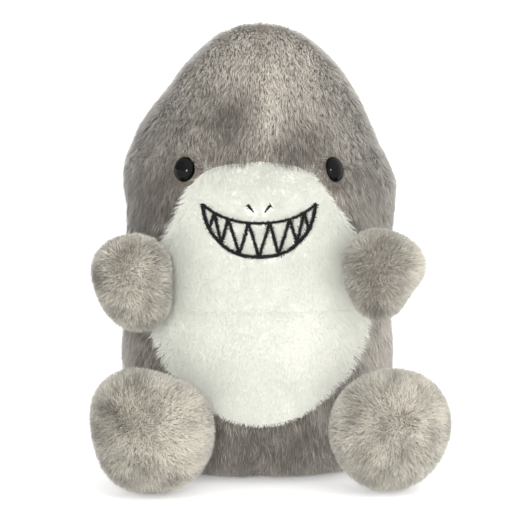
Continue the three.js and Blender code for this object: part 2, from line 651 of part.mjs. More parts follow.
// An outline is [share of the reach behind the root, height over the root's middle], anticlockwise.
function buildFinAndTail() {
  for (const [name, root, reach, thickness, outline, heart] of [
    ["dorsal_fin", FIN_ROOT_Z, FIN_REACH, FIN_THICKNESS, FIN_OUTLINE, FIN_HEART],
    ["tail", TAIL_ROOT_Z, TAIL_REACH, TAIL_THICKNESS, TAIL_OUTLINE, TAIL_HEART],
  ]) {
    const back = furthestBack(...root) + LIMB_CLEARANCE;
    const middle = (root[0] + root[1]) / 2;
    const place = ([share, height]) => [back + share * reach, middle + height];
    buildPad(name, outline.map(place), place(heart), thickness, FIN_SKIN);
  }
}

// ---- Label ----
function buildLabel() {
  const angle = THREE.MathUtils.degToRad(LABEL_ANGLE);
  const at = surfaceAtAngle(angle, LABEL_Z);
  const out = surfaceNormal(angle, LABEL_Z).setZ(0).normalize();
  const geometry = new THREE.BoxGeometry(LABEL_LENGTH, LABEL_THICKNESS, LABEL_WIDTH);
  geometry.translate(LABEL_LENGTH / 2 + 1, 0, 0);
  geometry.rotateZ(Math.atan2(out.y, out.x));
  geometry.translate(at.x, at.y, at.z);
  addPiece("care_label", solidOf(geometry), SATIN);
}

buildHeadAndBody();
buildSeams();
buildEmbroidery();
for (const [side, word] of [[1, "left"], [-1, "right"]]) {
  buildArm(side, word);
  buildFoot(side, word);
}
buildFinAndTail();
buildLabel();

export default shark;
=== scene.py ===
"""A sitting plush shark in grey pile with a white face and tummy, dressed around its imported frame.

The frame holds the sewn pieces at their real size. This script replaces the plain cloth solids with
smooth backing cloth and strands of pile, and gives the stitched grin, the domed eyes and every other
piece its finish.
"""

import json
import logging
import math
from collections.abc import Callable
from dataclasses import dataclass, field, replace
from enum import Enum

import bpy
import numpy as np
from mathutils import Matrix, Vector
from mathutils.kdtree import KDTree

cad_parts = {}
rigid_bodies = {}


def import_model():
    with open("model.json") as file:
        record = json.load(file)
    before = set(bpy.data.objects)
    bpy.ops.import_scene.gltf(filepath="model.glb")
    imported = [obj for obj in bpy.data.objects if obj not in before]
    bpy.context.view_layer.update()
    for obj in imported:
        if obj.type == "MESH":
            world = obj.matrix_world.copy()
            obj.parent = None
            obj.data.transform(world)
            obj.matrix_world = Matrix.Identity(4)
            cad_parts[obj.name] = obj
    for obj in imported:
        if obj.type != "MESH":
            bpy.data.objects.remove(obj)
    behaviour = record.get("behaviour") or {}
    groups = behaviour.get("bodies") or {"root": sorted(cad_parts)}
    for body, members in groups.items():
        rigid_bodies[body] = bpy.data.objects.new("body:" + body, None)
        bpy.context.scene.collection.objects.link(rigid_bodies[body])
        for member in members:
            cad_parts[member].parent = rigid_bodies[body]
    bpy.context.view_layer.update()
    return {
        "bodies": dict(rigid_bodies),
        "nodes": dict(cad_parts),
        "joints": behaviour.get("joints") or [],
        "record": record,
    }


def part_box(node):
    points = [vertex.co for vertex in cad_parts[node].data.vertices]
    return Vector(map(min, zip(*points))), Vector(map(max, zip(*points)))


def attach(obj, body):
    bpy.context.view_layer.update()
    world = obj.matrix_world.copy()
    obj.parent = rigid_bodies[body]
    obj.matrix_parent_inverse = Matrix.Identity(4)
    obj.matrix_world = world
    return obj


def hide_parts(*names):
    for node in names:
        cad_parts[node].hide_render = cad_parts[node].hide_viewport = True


LOG = logging.getLogger("plush_shark")
MM = 0.001
TONE_MAP = "OFBake"
Array = np.ndarray
Colour = tuple[float, float, float]
Pair = tuple[float, float]
Material, Tree = bpy.types.Material, bpy.types.NodeTree
Node, Socket = bpy.types.Node, bpy.types.NodeSocket
Piece = bpy.types.Object


# ---------------------------------------------------------------- small sums


def unit(vectors: Array) -> Array:
    """Scale vectors, along the last axis, to length one."""
    return vectors / np.maximum(np.linalg.norm(vectors, axis=-1, keepdims=True), 1e-12)


def ease(value: Array, low: float, high: float) -> Array:
    """Rise smoothly from 0 at low to 1 at high."""
    t = np.clip((value - low) / (high - low), 0.0, 1.0)
    return t * t * (3.0 - 2.0 * t)


def along_spline(stations: tuple[tuple[float, ...], ...], count: int) -> Array:
    """Sample the smooth curve through some stations.

    Args:
        stations: The points that the curve passes through.
        count: How many samples to take.

    Returns:
        The samples, one row each.
    """
    points = np.asarray(stations, float)
    last = len(points) - 1
    place = np.linspace(0.0, last, count)
    step = np.minimum(place.astype(int), last - 1)
    t = (place - step)[:, None]
    before, start = points[np.maximum(step - 1, 0)], points[step]
    end, after = points[step + 1], points[np.minimum(step + 2, last)]
    leave, arrive = (end - before) / 2, (after - start) / 2
    return (
        (2 * start - 2 * end + leave + arrive) * t**3
        + (3 * end - 3 * start - 2 * leave - arrive) * t**2
        + leave * t
        + start
    )


def evenly(points: Array, count: int) -> Array:
    """Place points again at equal distances along their line.

    Args:
        points: Points of a line.
        count: How many to return.

    Returns:
        The new points.
    """
    run = np.concatenate([[0.0], np.cumsum(np.linalg.norm(np.diff(points, axis=0), axis=1))])
    at = np.linspace(0.0, run[-1], count)
    return np.stack([np.interp(at, run, points[:, k]) for k in range(points.shape[1])], axis=1)


@dataclass(frozen=True)
class SoftNoise:
    """Smooth random waves in space, the same each time for one seed."""

    wavelength: float
    seed: int
    waves: int = 14

    def at(self, points: Array) -> Array:
        """Read the noise.

        Args:
            points: Points in metres, one row each.

        Returns:
            One value for each point, mostly from -1 to 1.
        """
        rng = np.random.default_rng(self.seed)
        ways = unit(rng.normal(size=(self.waves, 3)))
        scale = rng.uniform(0.6, 1.7, self.waves) * 2 * math.pi / self.wavelength
        phase = rng.uniform(0, 2 * math.pi, self.waves)
        values = np.zeros(len(points))
        for way, rate, start in zip(ways, scale, phase):
            values += np.sin(points @ way * rate + start)
        return values / math.sqrt(self.waves) * 1.2


# ---------------------------------------------------------------- finishes


def srgb(red: int, green: int, blue: int) -> Colour:
    """Turn a colour of 0 to 255 steps into linear light.

    Args:
        red: The red step.
        green: The green step.
        blue: The blue step.

    Returns:
        The linear colour.
    """

    def linear(step: int) -> float:
        """Undo the display curve of one channel."""
        share = step / 255
        return share / 12.92 if share <= 0.04045 else ((share + 0.055) / 1.055) ** 2.4

    return linear(red), linear(green), linear(blue)


def new_material(name: str) -> tuple[Material, Tree, Node]:
    """Make a material with its standard surface shader.

    Args:
        name: The material's name.

    Returns:
        The material, its nodes, and the shader.
    """
    material = bpy.data.materials.new(name)
    material.use_nodes = True
    return material, material.node_tree, material.node_tree.nodes["Principled BSDF"]


def ramp(tree: Tree, value: Socket, stops: list[tuple[float, Colour]]) -> Socket:
    """Colour a value through a ramp.

    Args:
        tree: The material's nodes.
        value: What the ramp reads.
        stops: Places and colours, in rising order.

    Returns:
        The colour.
    """
    node = tree.nodes.new("ShaderNodeValToRGB")
    elements = node.color_ramp.elements
    while len(elements) < len(stops):
        elements.new(0.5)
    for element, (place, colour) in zip(elements, stops):
        element.position = place
        element.color = (*colour, 1.0)
    tree.links.new(value, node.inputs["Fac"])
    return node.outputs["Color"]


def grain(tree: Tree, scale: float, detail: float = 3.0) -> Socket:
    """Make a noise that sits still on the object.

    Args:
        tree: The material's nodes.
        scale: Bumps in a metre.
        detail: How many finer layers it has.

    Returns:
        The noise value.
    """
    place = tree.nodes.new("ShaderNodeTexCoord")
    noise = tree.nodes.new("ShaderNodeTexNoise")
    noise.inputs["Scale"].default_value = scale
    noise.inputs["Detail"].default_value = detail
    tree.links.new(place.outputs["Object"], noise.inputs["Vector"])
    return noise.outputs["Fac"]


def bump(tree: Tree, shader: Node, height: Socket, depth: float, strength: float = 0.6) -> None:
    """Raise a shader's surface by a height.

    Args:
        tree: The material's nodes.
        shader: The shader that takes the bump.
        height: The height value.
        depth: How deep it is in metres.
        strength: How much of it shows.
    """
    node = tree.nodes.new("ShaderNodeBump")
    node.inputs["Distance"].default_value = depth
    node.inputs["Strength"].default_value = strength
    tree.links.new(height, node.inputs["Height"])
    tree.links.new(node.outputs["Normal"], shader.inputs["Normal"])


@dataclass(frozen=True)
class PileFinish:
    """Coloured pile strands: each strand has one tone, and lightens from its root to its tip; the darker root
    is painted shade down in the pile.
    """

    name: str
    dark_root: Colour
    light_root: Colour
    dark_tip: Colour
    light_tip: Colour
    sheen: float = 0.9
    glow: float = 0.25

    def material(self) -> Material:
        """Build the strand material, which reads the tone and the place along the strand."""
        material, tree, shader = new_material(self.name)
        tones = tree.nodes.new("ShaderNodeUVMap")
        tones.uv_map = TONE_MAP
        split = tree.nodes.new("ShaderNodeSeparateXYZ")
        tree.links.new(tones.outputs["UV"], split.inputs["Vector"])
        root = ramp(tree, split.outputs["X"], [(0.0, self.dark_root), (1.0, self.light_root)])
        tip = ramp(tree, split.outputs["X"], [(0.0, self.dark_tip), (1.0, self.light_tip)])
        mix = tree.nodes.new("ShaderNodeMix")
        mix.data_type = "RGBA"
        tree.links.new(split.outputs["Y"], mix.inputs["Factor"])
        tree.links.new(root, mix.inputs["A"])
        tree.links.new(tip, mix.inputs["B"])
        tree.links.new(mix.outputs["Result"], shader.inputs["Base Color"])
        shader.inputs["Roughness"].default_value = 0.75
        shader.inputs["Specular IOR Level"].default_value = 0.25
        shader.inputs["Sheen Weight"].default_value = self.sheen
        shader.inputs["Sheen Roughness"].default_value = 0.5
        through = tree.nodes.new("ShaderNodeBsdfTranslucent")
        tree.links.new(mix.outputs["Result"], through.inputs["Color"])
        both = tree.nodes.new("ShaderNodeMixShader")
        both.inputs["Fac"].default_value = self.glow
        tree.links.new(shader.outputs["BSDF"], both.inputs[1])
        tree.links.new(through.outputs["BSDF"], both.inputs[2])
        tree.links.new(both.outputs["Shader"], tree.nodes["Material Output"].inputs["Surface"])
        return material


@dataclass(frozen=True)
class ClothFinish:
    """Soft matt cloth, fibre or thread: mottled colour with a fine raised grain."""

    name: str
    dark: Colour
    light: Colour
    grain_per_metre: float
    depth: float
    roughness: float = 0.9
    sheen: float = 0.2

    def material(self) -> Material:
        """Build the cloth material."""
        material, tree, shader = new_material(self.name)
        value = grain(tree, self.grain_per_metre)
        tree.links.new(ramp(tree, value, [(0.3, self.dark), (0.7, self.light)]), shader.inputs["Base Color"])
        bump(tree, shader, grain(tree, self.grain_per_metre * 2.5), self.depth)
        shader.inputs["Roughness"].default_value = self.roughness
        shader.inputs["Specular IOR Level"].default_value = 0.2
        shader.inputs["Sheen Weight"].default_value = self.sheen
        return material


@dataclass(frozen=True)
class WovenFinish:
    """Woven tape or cotton: fine crossing yarns."""

    name: str
    dark: Colour
    light: Colour
    yarns_per_metre: float
    roughness: float = 0.7

    def material(self) -> Material:
        """Build the woven material."""
        material, tree, shader = new_material(self.name)
        place = tree.nodes.new("ShaderNodeTexCoord")
        yarns = []
        for axis in ("X", "Z"):
            wave = tree.nodes.new("ShaderNodeTexWave")
            wave.bands_direction = axis
            wave.inputs["Scale"].default_value = self.yarns_per_metre / 6.0
            wave.inputs["Distortion"].default_value = 1.5
            wave.inputs["Detail Scale"].default_value = 2.0
            tree.links.new(place.outputs["Object"], wave.inputs["Vector"])
            yarns.append(wave.outputs["Fac"])
        cross = tree.nodes.new("ShaderNodeMath")
        cross.operation = "MULTIPLY"
        tree.links.new(yarns[0], cross.inputs[0])
        tree.links.new(yarns[1], cross.inputs[1])
        tint = ramp(tree, cross.outputs["Value"], [(0.0, self.dark), (0.8, self.light)])
        tree.links.new(tint, shader.inputs["Base Color"])
        bump(tree, shader, cross.outputs["Value"], 0.1 * MM)
        shader.inputs["Roughness"].default_value = self.roughness
        return material


@dataclass(frozen=True)
class GlossFinish:
    """Polished moulded plastic with a faint cloudiness."""

    name: str
    dark: Colour
    light: Colour
    roughness: float
    shine: float

    def material(self) -> Material:
        """Build the plastic material."""
        material, tree, shader = new_material(self.name)
        value = grain(tree, 900.0)
        tree.links.new(ramp(tree, value, [(0.35, self.dark), (0.7, self.light)]), shader.inputs["Base Color"])
        bump(tree, shader, grain(tree, 2500.0, 1.0), 0.01 * MM, 0.15)
        shader.inputs["Roughness"].default_value = self.roughness
        shader.inputs["Specular IOR Level"].default_value = self.shine
        return material


@dataclass(frozen=True)
class BeadFinish:
    """Packed round pellets: cells with raised middles, lighter in the middle and darker towards the edges, a
    painted shade between the pellets.
    """

    name: str
    dark: Colour
    light: Colour
    beads_per_metre: float

    def material(self) -> Material:
        """Build the pellet material."""
        material, tree, shader = new_material(self.name)
        place = tree.nodes.new("ShaderNodeTexCoord")
        cells = tree.nodes.new("ShaderNodeTexVoronoi")
        cells.inputs["Scale"].default_value = self.beads_per_metre
        tree.links.new(place.outputs["Object"], cells.inputs["Vector"])
        # painted shade: darker towards each cell's edge, between the pellets
        tint = ramp(tree, cells.outputs["Distance"], [(0.1, self.light), (0.7, self.dark)])
        tree.links.new(tint, shader.inputs["Base Color"])
        bump(tree, shader, cells.outputs["Distance"], -1.0 * MM)
        shader.inputs["Roughness"].default_value = 0.35
        return material


# ---------------------------------------------------------------- meshes


def mesh_object(name: str, points: Array, faces: list[Array], material: Material) -> Piece:
    """Make an object from arrays.

    Args:
        name: The object's name.
        points: The corners, one row each.
        faces: Face arrays, each with its own number of corners.
        material: The finish.

    Returns:
        The linked object.
    """
    mesh = bpy.data.meshes.new(name)
    sizes = np.concatenate([np.full(len(f), f.shape[1], np.int32) for f in faces])
    corners = np.concatenate([f.reshape(-1) for f in faces]).astype(np.int32)
    mesh.vertices.add(len(points))
    mesh.vertices.foreach_set("co", np.ascontiguousarray(points, np.float32).reshape(-1))
    mesh.loops.add(len(corners))
    mesh.loops.foreach_set("vertex_index", corners)
    mesh.polygons.add(len(sizes))
    mesh.polygons.foreach_set("loop_start", np.concatenate([[0], np.cumsum(sizes)[:-1]]).astype(np.int32))
    mesh.polygons.foreach_set("use_smooth", np.ones(len(sizes), bool))
    mesh.update(calc_edges=True)
    mesh.validate()
    mesh.materials.append(material)
    made = bpy.data.objects.new(name, mesh)
    bpy.context.scene.collection.objects.link(made)
    return made


def grid_quads(corner: Array, after: Array) -> Array:
    """Join rows of corner numbers into quads: each to its neighbour in after, and to the next row."""
    return np.stack([corner[:-1], after[:-1], after[1:], corner[1:]], axis=-1).reshape(-1, 4)


def settle(piece: Piece, body: str, slot: str, *nodes: str) -> Piece:
    """Hold a piece to its body, and hide the frame nodes that it stands for.

    Args:
        piece: The piece.
        body: The body that it moves with.
        slot: Not used.
        nodes: The frame nodes that it replaces.

    Returns:
        The piece.
    """
    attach(piece, body)
    if nodes:
        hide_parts(*nodes)
    return piece


@dataclass
class Patch:
    """A smooth stretch of cloth: a grid of points and their outward normals."""

    points: Array
    normals: Array

    @classmethod
    def from_grid(cls, points: Array, outward_from: Array) -> "Patch":
        """Work out the normals of a grid.

        Args:
            points: A grid of points, rows by columns.
            outward_from: A point on the inner side of the cloth, for each point or for all.

        Returns:
            The patch.
        """
        down, across = np.gradient(points, axis=0), np.gradient(points, axis=1)
        normals = unit(np.cross(down, across))
        facing = np.sum(normals * (points - outward_from), axis=-1)
        return cls(points, normals * np.where(facing < 0, -1.0, 1.0)[..., None])

    def cloth(self, name: str, material: Material, inset: float, thickness: float) -> Piece:
        """Make the backing cloth.

        Args:
            name: The piece's name.
            material: Its finish.
            inset: How far its outside lies under the patch.
            thickness: How thick it is.

        Returns:
            The piece, a closed thin shell.
        """
        rows, columns = self.points.shape[:2]
        corner = np.arange(rows * columns).reshape(rows, columns)
        quads = grid_quads(corner[:, :-1], corner[:, 1:])
        outside = (self.points - self.normals * inset).reshape(-1, 3)
        inside = (self.points - self.normals * (inset + thickness)).reshape(-1, 3)
        start, along, over = (outside[quads[:, k]] for k in range(3))
        first = np.cross(along - start, over - start)
        if np.sum(first * self.normals.reshape(-1, 3)[quads[:, 0]]) < 0:
            quads = quads[:, ::-1]
        rim = np.concatenate([corner[0, :], corner[1:, -1], corner[-1, -2::-1], corner[-2:0:-1, 0]])
        after = np.roll(rim, -1)
        side = np.stack([rim, after, after + len(outside), rim + len(outside)], axis=-1)
        faces = [quads, quads[:, ::-1] + len(outside), side]
        return mesh_object(name, np.concatenate([outside, inside]), faces, material)

    def scatter(self, rng: np.random.Generator, per_square_mm: float) -> tuple[Array, Array]:
        """Drop random points on the patch.

        Args:
            rng: The random draws.
            per_square_mm: How many points a square millimetre gets.

        Returns:
            The points and their normals.
        """
        p, n = self.points, self.normals
        size = np.linalg.norm(np.cross(p[1:, :-1] - p[:-1, :-1], p[:-1, 1:] - p[:-1, :-1]), axis=-1)
        share = size.reshape(-1) / size.sum()
        count = int(size.sum() / MM**2 * per_square_mm)
        row, column = np.divmod(rng.choice(share.size, count, p=share), size.shape[1])
        a, b = rng.random((2, count, 1))

        def blend(grid: Array) -> Array:
            """Mix the four corners of each chosen cell."""
            top = grid[row, column] * (1 - b) + grid[row, column + 1] * b
            low = grid[row + 1, column] * (1 - b) + grid[row + 1, column + 1] * b
            return top * (1 - a) + low * a

        return blend(p), unit(blend(n))


# ---------------------------------------------------------------- pile

Field = Callable[[Array], Array]


@dataclass(frozen=True)
class Pile:
    """How one cloth's pile stands: its strands, their lay, and how they gather into locks."""

    length: float
    width: float
    per_square_mm: float
    depth: float
    rise: float = 0.5
    reach: float = 0.78
    lock_per_square_mm: float = 1.0
    gather: float = 0.22
    swirl: float = 0.16
    swirl_wavelength: float = 9 * MM
    scatter: float = 0.26
    uneven: float = 0.3
    softness: float = 0.7
    strand_tones: float = 0.2
    pale_share: float = 0.0
    pale_gain: float = 0.38
    lock_tones: float = 0.06
    guard_share: float = 0.12
    guard_gain: float = 1.3


@dataclass(frozen=True)
class ShadePatch:
    """A soft patch of lighter or darker pile, seen from the front: the pile's own tone, and in places painted
    light and shade.
    """

    x: float
    z: float
    wide: float
    tall: float
    change: float

    def at(self, points: Array) -> Array:
        """How much the patch changes the tone of each point, given in metres."""
        across, up = points[:, 0] / MM - self.x, points[:, 2] / MM - self.z
        front = 1 - ease(points[:, 1], -4 * MM, 12 * MM)
        return self.change * front * np.exp(-((across / self.wide) ** 2) - (up / self.tall) ** 2)


@dataclass
class PileCoat:
    """The pile of one panel or limb, as strands grown from its cloth."""

    name: str
    pile: Pile
    finish: Material
    seed: int
    comb: Callable[[Array, Array], Array]
    tone: Field
    length_scale: Field | None = None
    keep: Field | None = None
    floor: float = 0.0002

    def _guides(self, roots: Array, normals: Array, combs: Array, lengths: Array, share: float) -> Array:
        """Follow each strand to a share of its length.

        Args:
            roots: Where the strands start.
            normals: The cloth's outward directions there.
            combs: The directions that they are combed in.
            lengths: How long they are.
            share: How far along them, from 0 to 1.

        Returns:
            One point for each strand.
        """
        up = self.pile.rise * (1.75 * share - 0.75 * share**2)
        ahead = self.pile.reach * (0.55 * share + 0.45 * share**2)
        return roots + lengths[:, None] * (normals * up + combs * ahead)

    def grow(self, patches: list[Patch]) -> Piece:
        """Grow the strands.

        Args:
            patches: The cloth that they grow from.

        Returns:
            The piece, with its tones in the tone map.
        """
        rng = np.random.default_rng(self.seed)
        pile = self.pile
        drops = [patch.scatter(rng, pile.per_square_mm) for patch in patches]
        roots, normals = (np.concatenate([drop[k] for drop in drops]) for k in (0, 1))
        if self.keep is not None:
            kept = self.keep(roots) > rng.random(len(roots))
            roots, normals = roots[kept], normals[kept]
        count = len(roots)
        lock_count = max(int(count * pile.lock_per_square_mm / pile.per_square_mm), 1)
        chosen = rng.choice(count, lock_count, replace=False)
        tree = KDTree(lock_count)
        for index, root in enumerate(roots[chosen]):
            tree.insert(root, index)
        tree.balance()
        lock = np.fromiter((tree.find(root)[1] for root in roots), int, count)

        swirl = SoftNoise(pile.swirl_wavelength, self.seed + 1)
        turn = pile.swirl * swirl.at(roots)
        lock_turn = rng.normal(0.0, pile.scatter, lock_count)
        combs = self._turned(self.comb(roots, normals), normals, turn + rng.normal(0.0, pile.scatter, count))
        lengths = pile.length * (1 + pile.uneven * rng.uniform(-1, 1, count))
        lengths = np.where(rng.random(count) < pile.guard_share, pile.length * pile.guard_gain, lengths)
        if self.length_scale is not None:
            lengths = lengths * self.length_scale(roots)
        base = roots - normals * pile.depth
        lock_ways = self.comb(roots[chosen], normals[chosen])
        lock_combs = self._turned(lock_ways, normals[chosen], turn[chosen] + lock_turn)
        lock_lift = 1 + rng.normal(0.0, 0.18, lock_count)
        lock_lengths = lengths[chosen] * lock_lift

        shares = (0.0, 0.5, 1.0)
        rows = []
        for share in shares:
            own = self._guides(base, normals, combs, lengths, share)
            shared = self._guides(base[chosen], normals[chosen], lock_combs, lock_lengths, share)[lock]
            pull = pile.gather * share**1.3
            point = own * (1 - pull) + shared * pull
            point[:, 2] = np.maximum(point[:, 2], self.floor + 0.1 * MM * share)
            rows.append(point)
        way = unit(rows[2] - rows[0])
        side = unit(np.cross(way, normals) + 0.45 * rng.normal(size=(count, 1)) * normals)
        points = np.empty((count, 5, 3))
        half = pile.width / 2
        for k, taper in ((0, 1.0), (1, 0.8)):
            points[:, 2 * k] = rows[k] - side * half * taper
            points[:, 2 * k + 1] = rows[k] + side * half * taper
        points[:, 4] = rows[2]
        tone = self.tone(roots) + pile.lock_tones * rng.normal(size=lock_count)[lock]
        made = self._object(points, normals, way, rng, tone)
        LOG.info("%s: %d strands", self.name, count)
        return made

    @staticmethod
    def _turned(ways: Array, normals: Array, angles: Array) -> Array:
        """Turn directions about the cloth's normals.

        Args:
            ways: Directions along the cloth.
            normals: The cloth's outward directions.
            angles: How far to turn each, in radians.

        Returns:
            The turned directions.
        """
        across = np.cross(normals, ways)
        return ways * np.cos(angles)[:, None] + across * np.sin(angles)[:, None]

    def _object(
        self, points: Array, normals: Array, way: Array, rng: np.random.Generator, tone: Array
    ) -> Piece:
        """Turn strand corners into a mesh.

        Args:
            points: Five corners for each strand.
            normals: The cloth's outward direction at each strand.
            way: Each strand's own direction.
            rng: The random draws.
            tone: Each strand's tone.

        Returns:
            The piece.
        """
        count = len(points)
        first = np.arange(count)[:, None] * 5
        quads = first + np.array([0, 1, 3, 2])
        tips = first + np.array([2, 3, 4])
        made = mesh_object(self.name, points.reshape(-1, 3), [quads, tips], self.finish)
        pale = self.pile.pale_gain * (rng.random(count) < self.pile.pale_share)
        tone = np.clip(tone + pale + self.pile.strand_tones * rng.normal(size=count), 0.03, 0.97)
        edge = np.array([-0.004, 0.004, -0.004, 0.004, 0.0])
        along = np.array([0.02, 0.02, 0.5, 0.5, 0.98])
        places = np.broadcast_to(along, (count, 5))
        at_point = np.stack([tone[:, None] + edge, places], axis=-1).reshape(-1, 2)
        corners = np.concatenate([quads.reshape(-1), tips.reshape(-1)])
        layer = made.data.uv_layers.new(name=TONE_MAP)
        layer.data.foreach_set("uv", at_point[corners].astype(np.float32).reshape(-1))
        facing = unit(normals - way * np.sum(normals * way, axis=1, keepdims=True))
        soft = unit(normals * self.pile.softness + facing * (1 - self.pile.softness))
        made.data.normals_split_custom_set_from_vertices(np.repeat(soft, 5, axis=0))
        return made


# ---------------------------------------------------------------- head and body


@dataclass(frozen=True)
class BodyForm:
    """The stuffed head and body: a turned form, flatter in front than behind."""

    height: float
    half_width: float
    neck: float
    profile: tuple[Pair, ...] = (
        (0, 0.64), (0.022, 0.79), (0.062, 0.885), (0.12, 0.945), (0.2, 0.985), (0.285, 1.0),
        (0.378, 0.968), (0.46, 0.965), (0.55, 0.983), (0.645, 0.99), (0.72, 0.93), (0.787, 0.83),
        (0.85, 0.715), (0.905, 0.575), (0.953, 0.405), (0.985, 0.235), (1.0, 0.0),
    )
    front: tuple[Pair, ...] = (
        (0, 0.7), (0.06, 0.78), (0.3, 0.84), (0.6, 0.855), (0.79, 0.81), (0.93, 0.71), (1, 0.64),
    )
    back: tuple[Pair, ...] = (
        (0, 0.8), (0.06, 0.86), (0.3, 0.88), (0.45, 0.86), (0.65, 0.92), (0.8, 0.98), (1, 1),
    )
    # how much fuller the toy's left and right are than the even form, at each height
    fuller: tuple[tuple[float, float, float], ...] = (
        (0, 1.01, 1.045), (0.29, 1.01, 1.05), (0.5, 1.02, 1.035), (0.6, 1.03, 1.02),
        (0.65, 1.03, 1.045), (0.7, 1.0, 1.06), (0.735, 0.975, 1.055), (0.78, 0.98, 1.055),
        (0.82, 0.985, 1.016), (0.865, 0.99, 0.972), (0.91, 1.005, 0.978), (1, 0.98, 0.975),
    )

    def outline(self, count: int) -> Array:
        """Sample the silhouette.

        Args:
            count: How many points to take.

        Returns:
            Rows of half width and height, from the base's rim to the crown.
        """
        table = along_spline(self.profile, 600)
        line = np.stack([table[:, 1] * self.half_width, table[:, 0] * self.height], axis=1)
        return evenly(line, count)

    def widths(self, z: Array) -> Array:
        """Half width at each height."""
        line = self.outline(500)
        return np.interp(z, line[:, 1], line[:, 0])

    def place(self, angle: Array, z: Array) -> Array:
        """Find points of the surface.

        Args:
            angle: Turns in radians: 0 is +X, minus a quarter turn the front.
            z: Heights.

        Returns:
            The points.
        """
        width = self.widths(z)
        across, deep = width * np.cos(angle), width * np.sin(angle)
        across = across * self.fullness(across, z)
        share = z / self.height
        front = np.interp(share, *np.array(self.front).T)
        back = np.interp(share, *np.array(self.back).T)
        return np.stack([across, deep * np.where(deep < 0, front, back), z + 0 * across], axis=-1)

    def fullness(self, x: Array, z: Array) -> Array:
        """How much fuller the form is on this side of the middle, at this height."""
        heights, left, right = np.array(self.fuller).T
        share = z / self.height
        return np.where(x > 0, np.interp(share, heights, left), np.interp(share, heights, right))

    def front_angle(self, x: Array, z: Array) -> Array:
        """The turn of the front's point with this x and height."""
        true_x = x / self.fullness(x, z)
        return -np.arccos(np.clip(true_x / self.widths(z), -1.0, 1.0))

    def on_front(self, x: Array, z: Array) -> tuple[Array, Array]:
        """Find points of the front and the outward directions there.

        Args:
            x: Places across.
            z: Heights.

        Returns:
            The points and the normals.
        """
        angle = self.front_angle(x, z)
        step = 0.004
        around = self.place(angle + step, z) - self.place(angle - step, z)
        up = self.place(angle, z + 0.3 * MM) - self.place(angle, z - 0.3 * MM)
        return self.place(angle, z), unit(np.cross(around, up))


@dataclass(frozen=True)
class WhiteEdge:
    """The outline of the white front, seen straight from the front."""

    form: BodyForm
    stations: tuple[Pair, ...] = (
        (0, 0.705), (0.32, 0.693), (0.492, 0.6575), (0.61, 0.59), (0.72, 0.52), (0.815, 0.41),
        (0.79, 0.339), (0.68, 0.252), (0.44, 0.177), (0.215, 0.14), (0, 0.13),
    )
    skew: float = 2.0 * MM
    skew_height: float = 83 * MM
    skew_spread: float = 6.5 * MM

    def line(self, count: int) -> Array:
        """The right half of the outline as rows of x and height, from top to bottom."""
        curve = along_spline(self.stations, 400) * (self.form.half_width, self.form.height)
        return evenly(curve, count)

    def half_width(self, z: Array, sign: Array | float = 0.0) -> Array:
        """Half width of the white at each height, and 0 above and below it.

        Args:
            z: The heights.
            sign: 1 for the toy's left, -1 for its right, where the cheek is sewn wider.

        Returns:
            The half widths.
        """
        line = self.line(300)[::-1]
        even = np.interp(z, line[:, 1], line[:, 0], left=0.0, right=0.0)
        cheek = self.skew * np.exp(-(((z - self.skew_height) / self.skew_spread) ** 2))
        share = np.where(np.asarray(sign) > 0, -1.0, 0.1 * np.abs(sign))
        return even + share * cheek * ease(even, 0.0, 10 * MM)


class Side(Enum):
    """The toy's own left and right, as the sign of x."""

    LEFT = 1
    RIGHT = -1

    @property
    def word(self) -> str:
        """The side's name in piece names."""
        return self.name.lower()


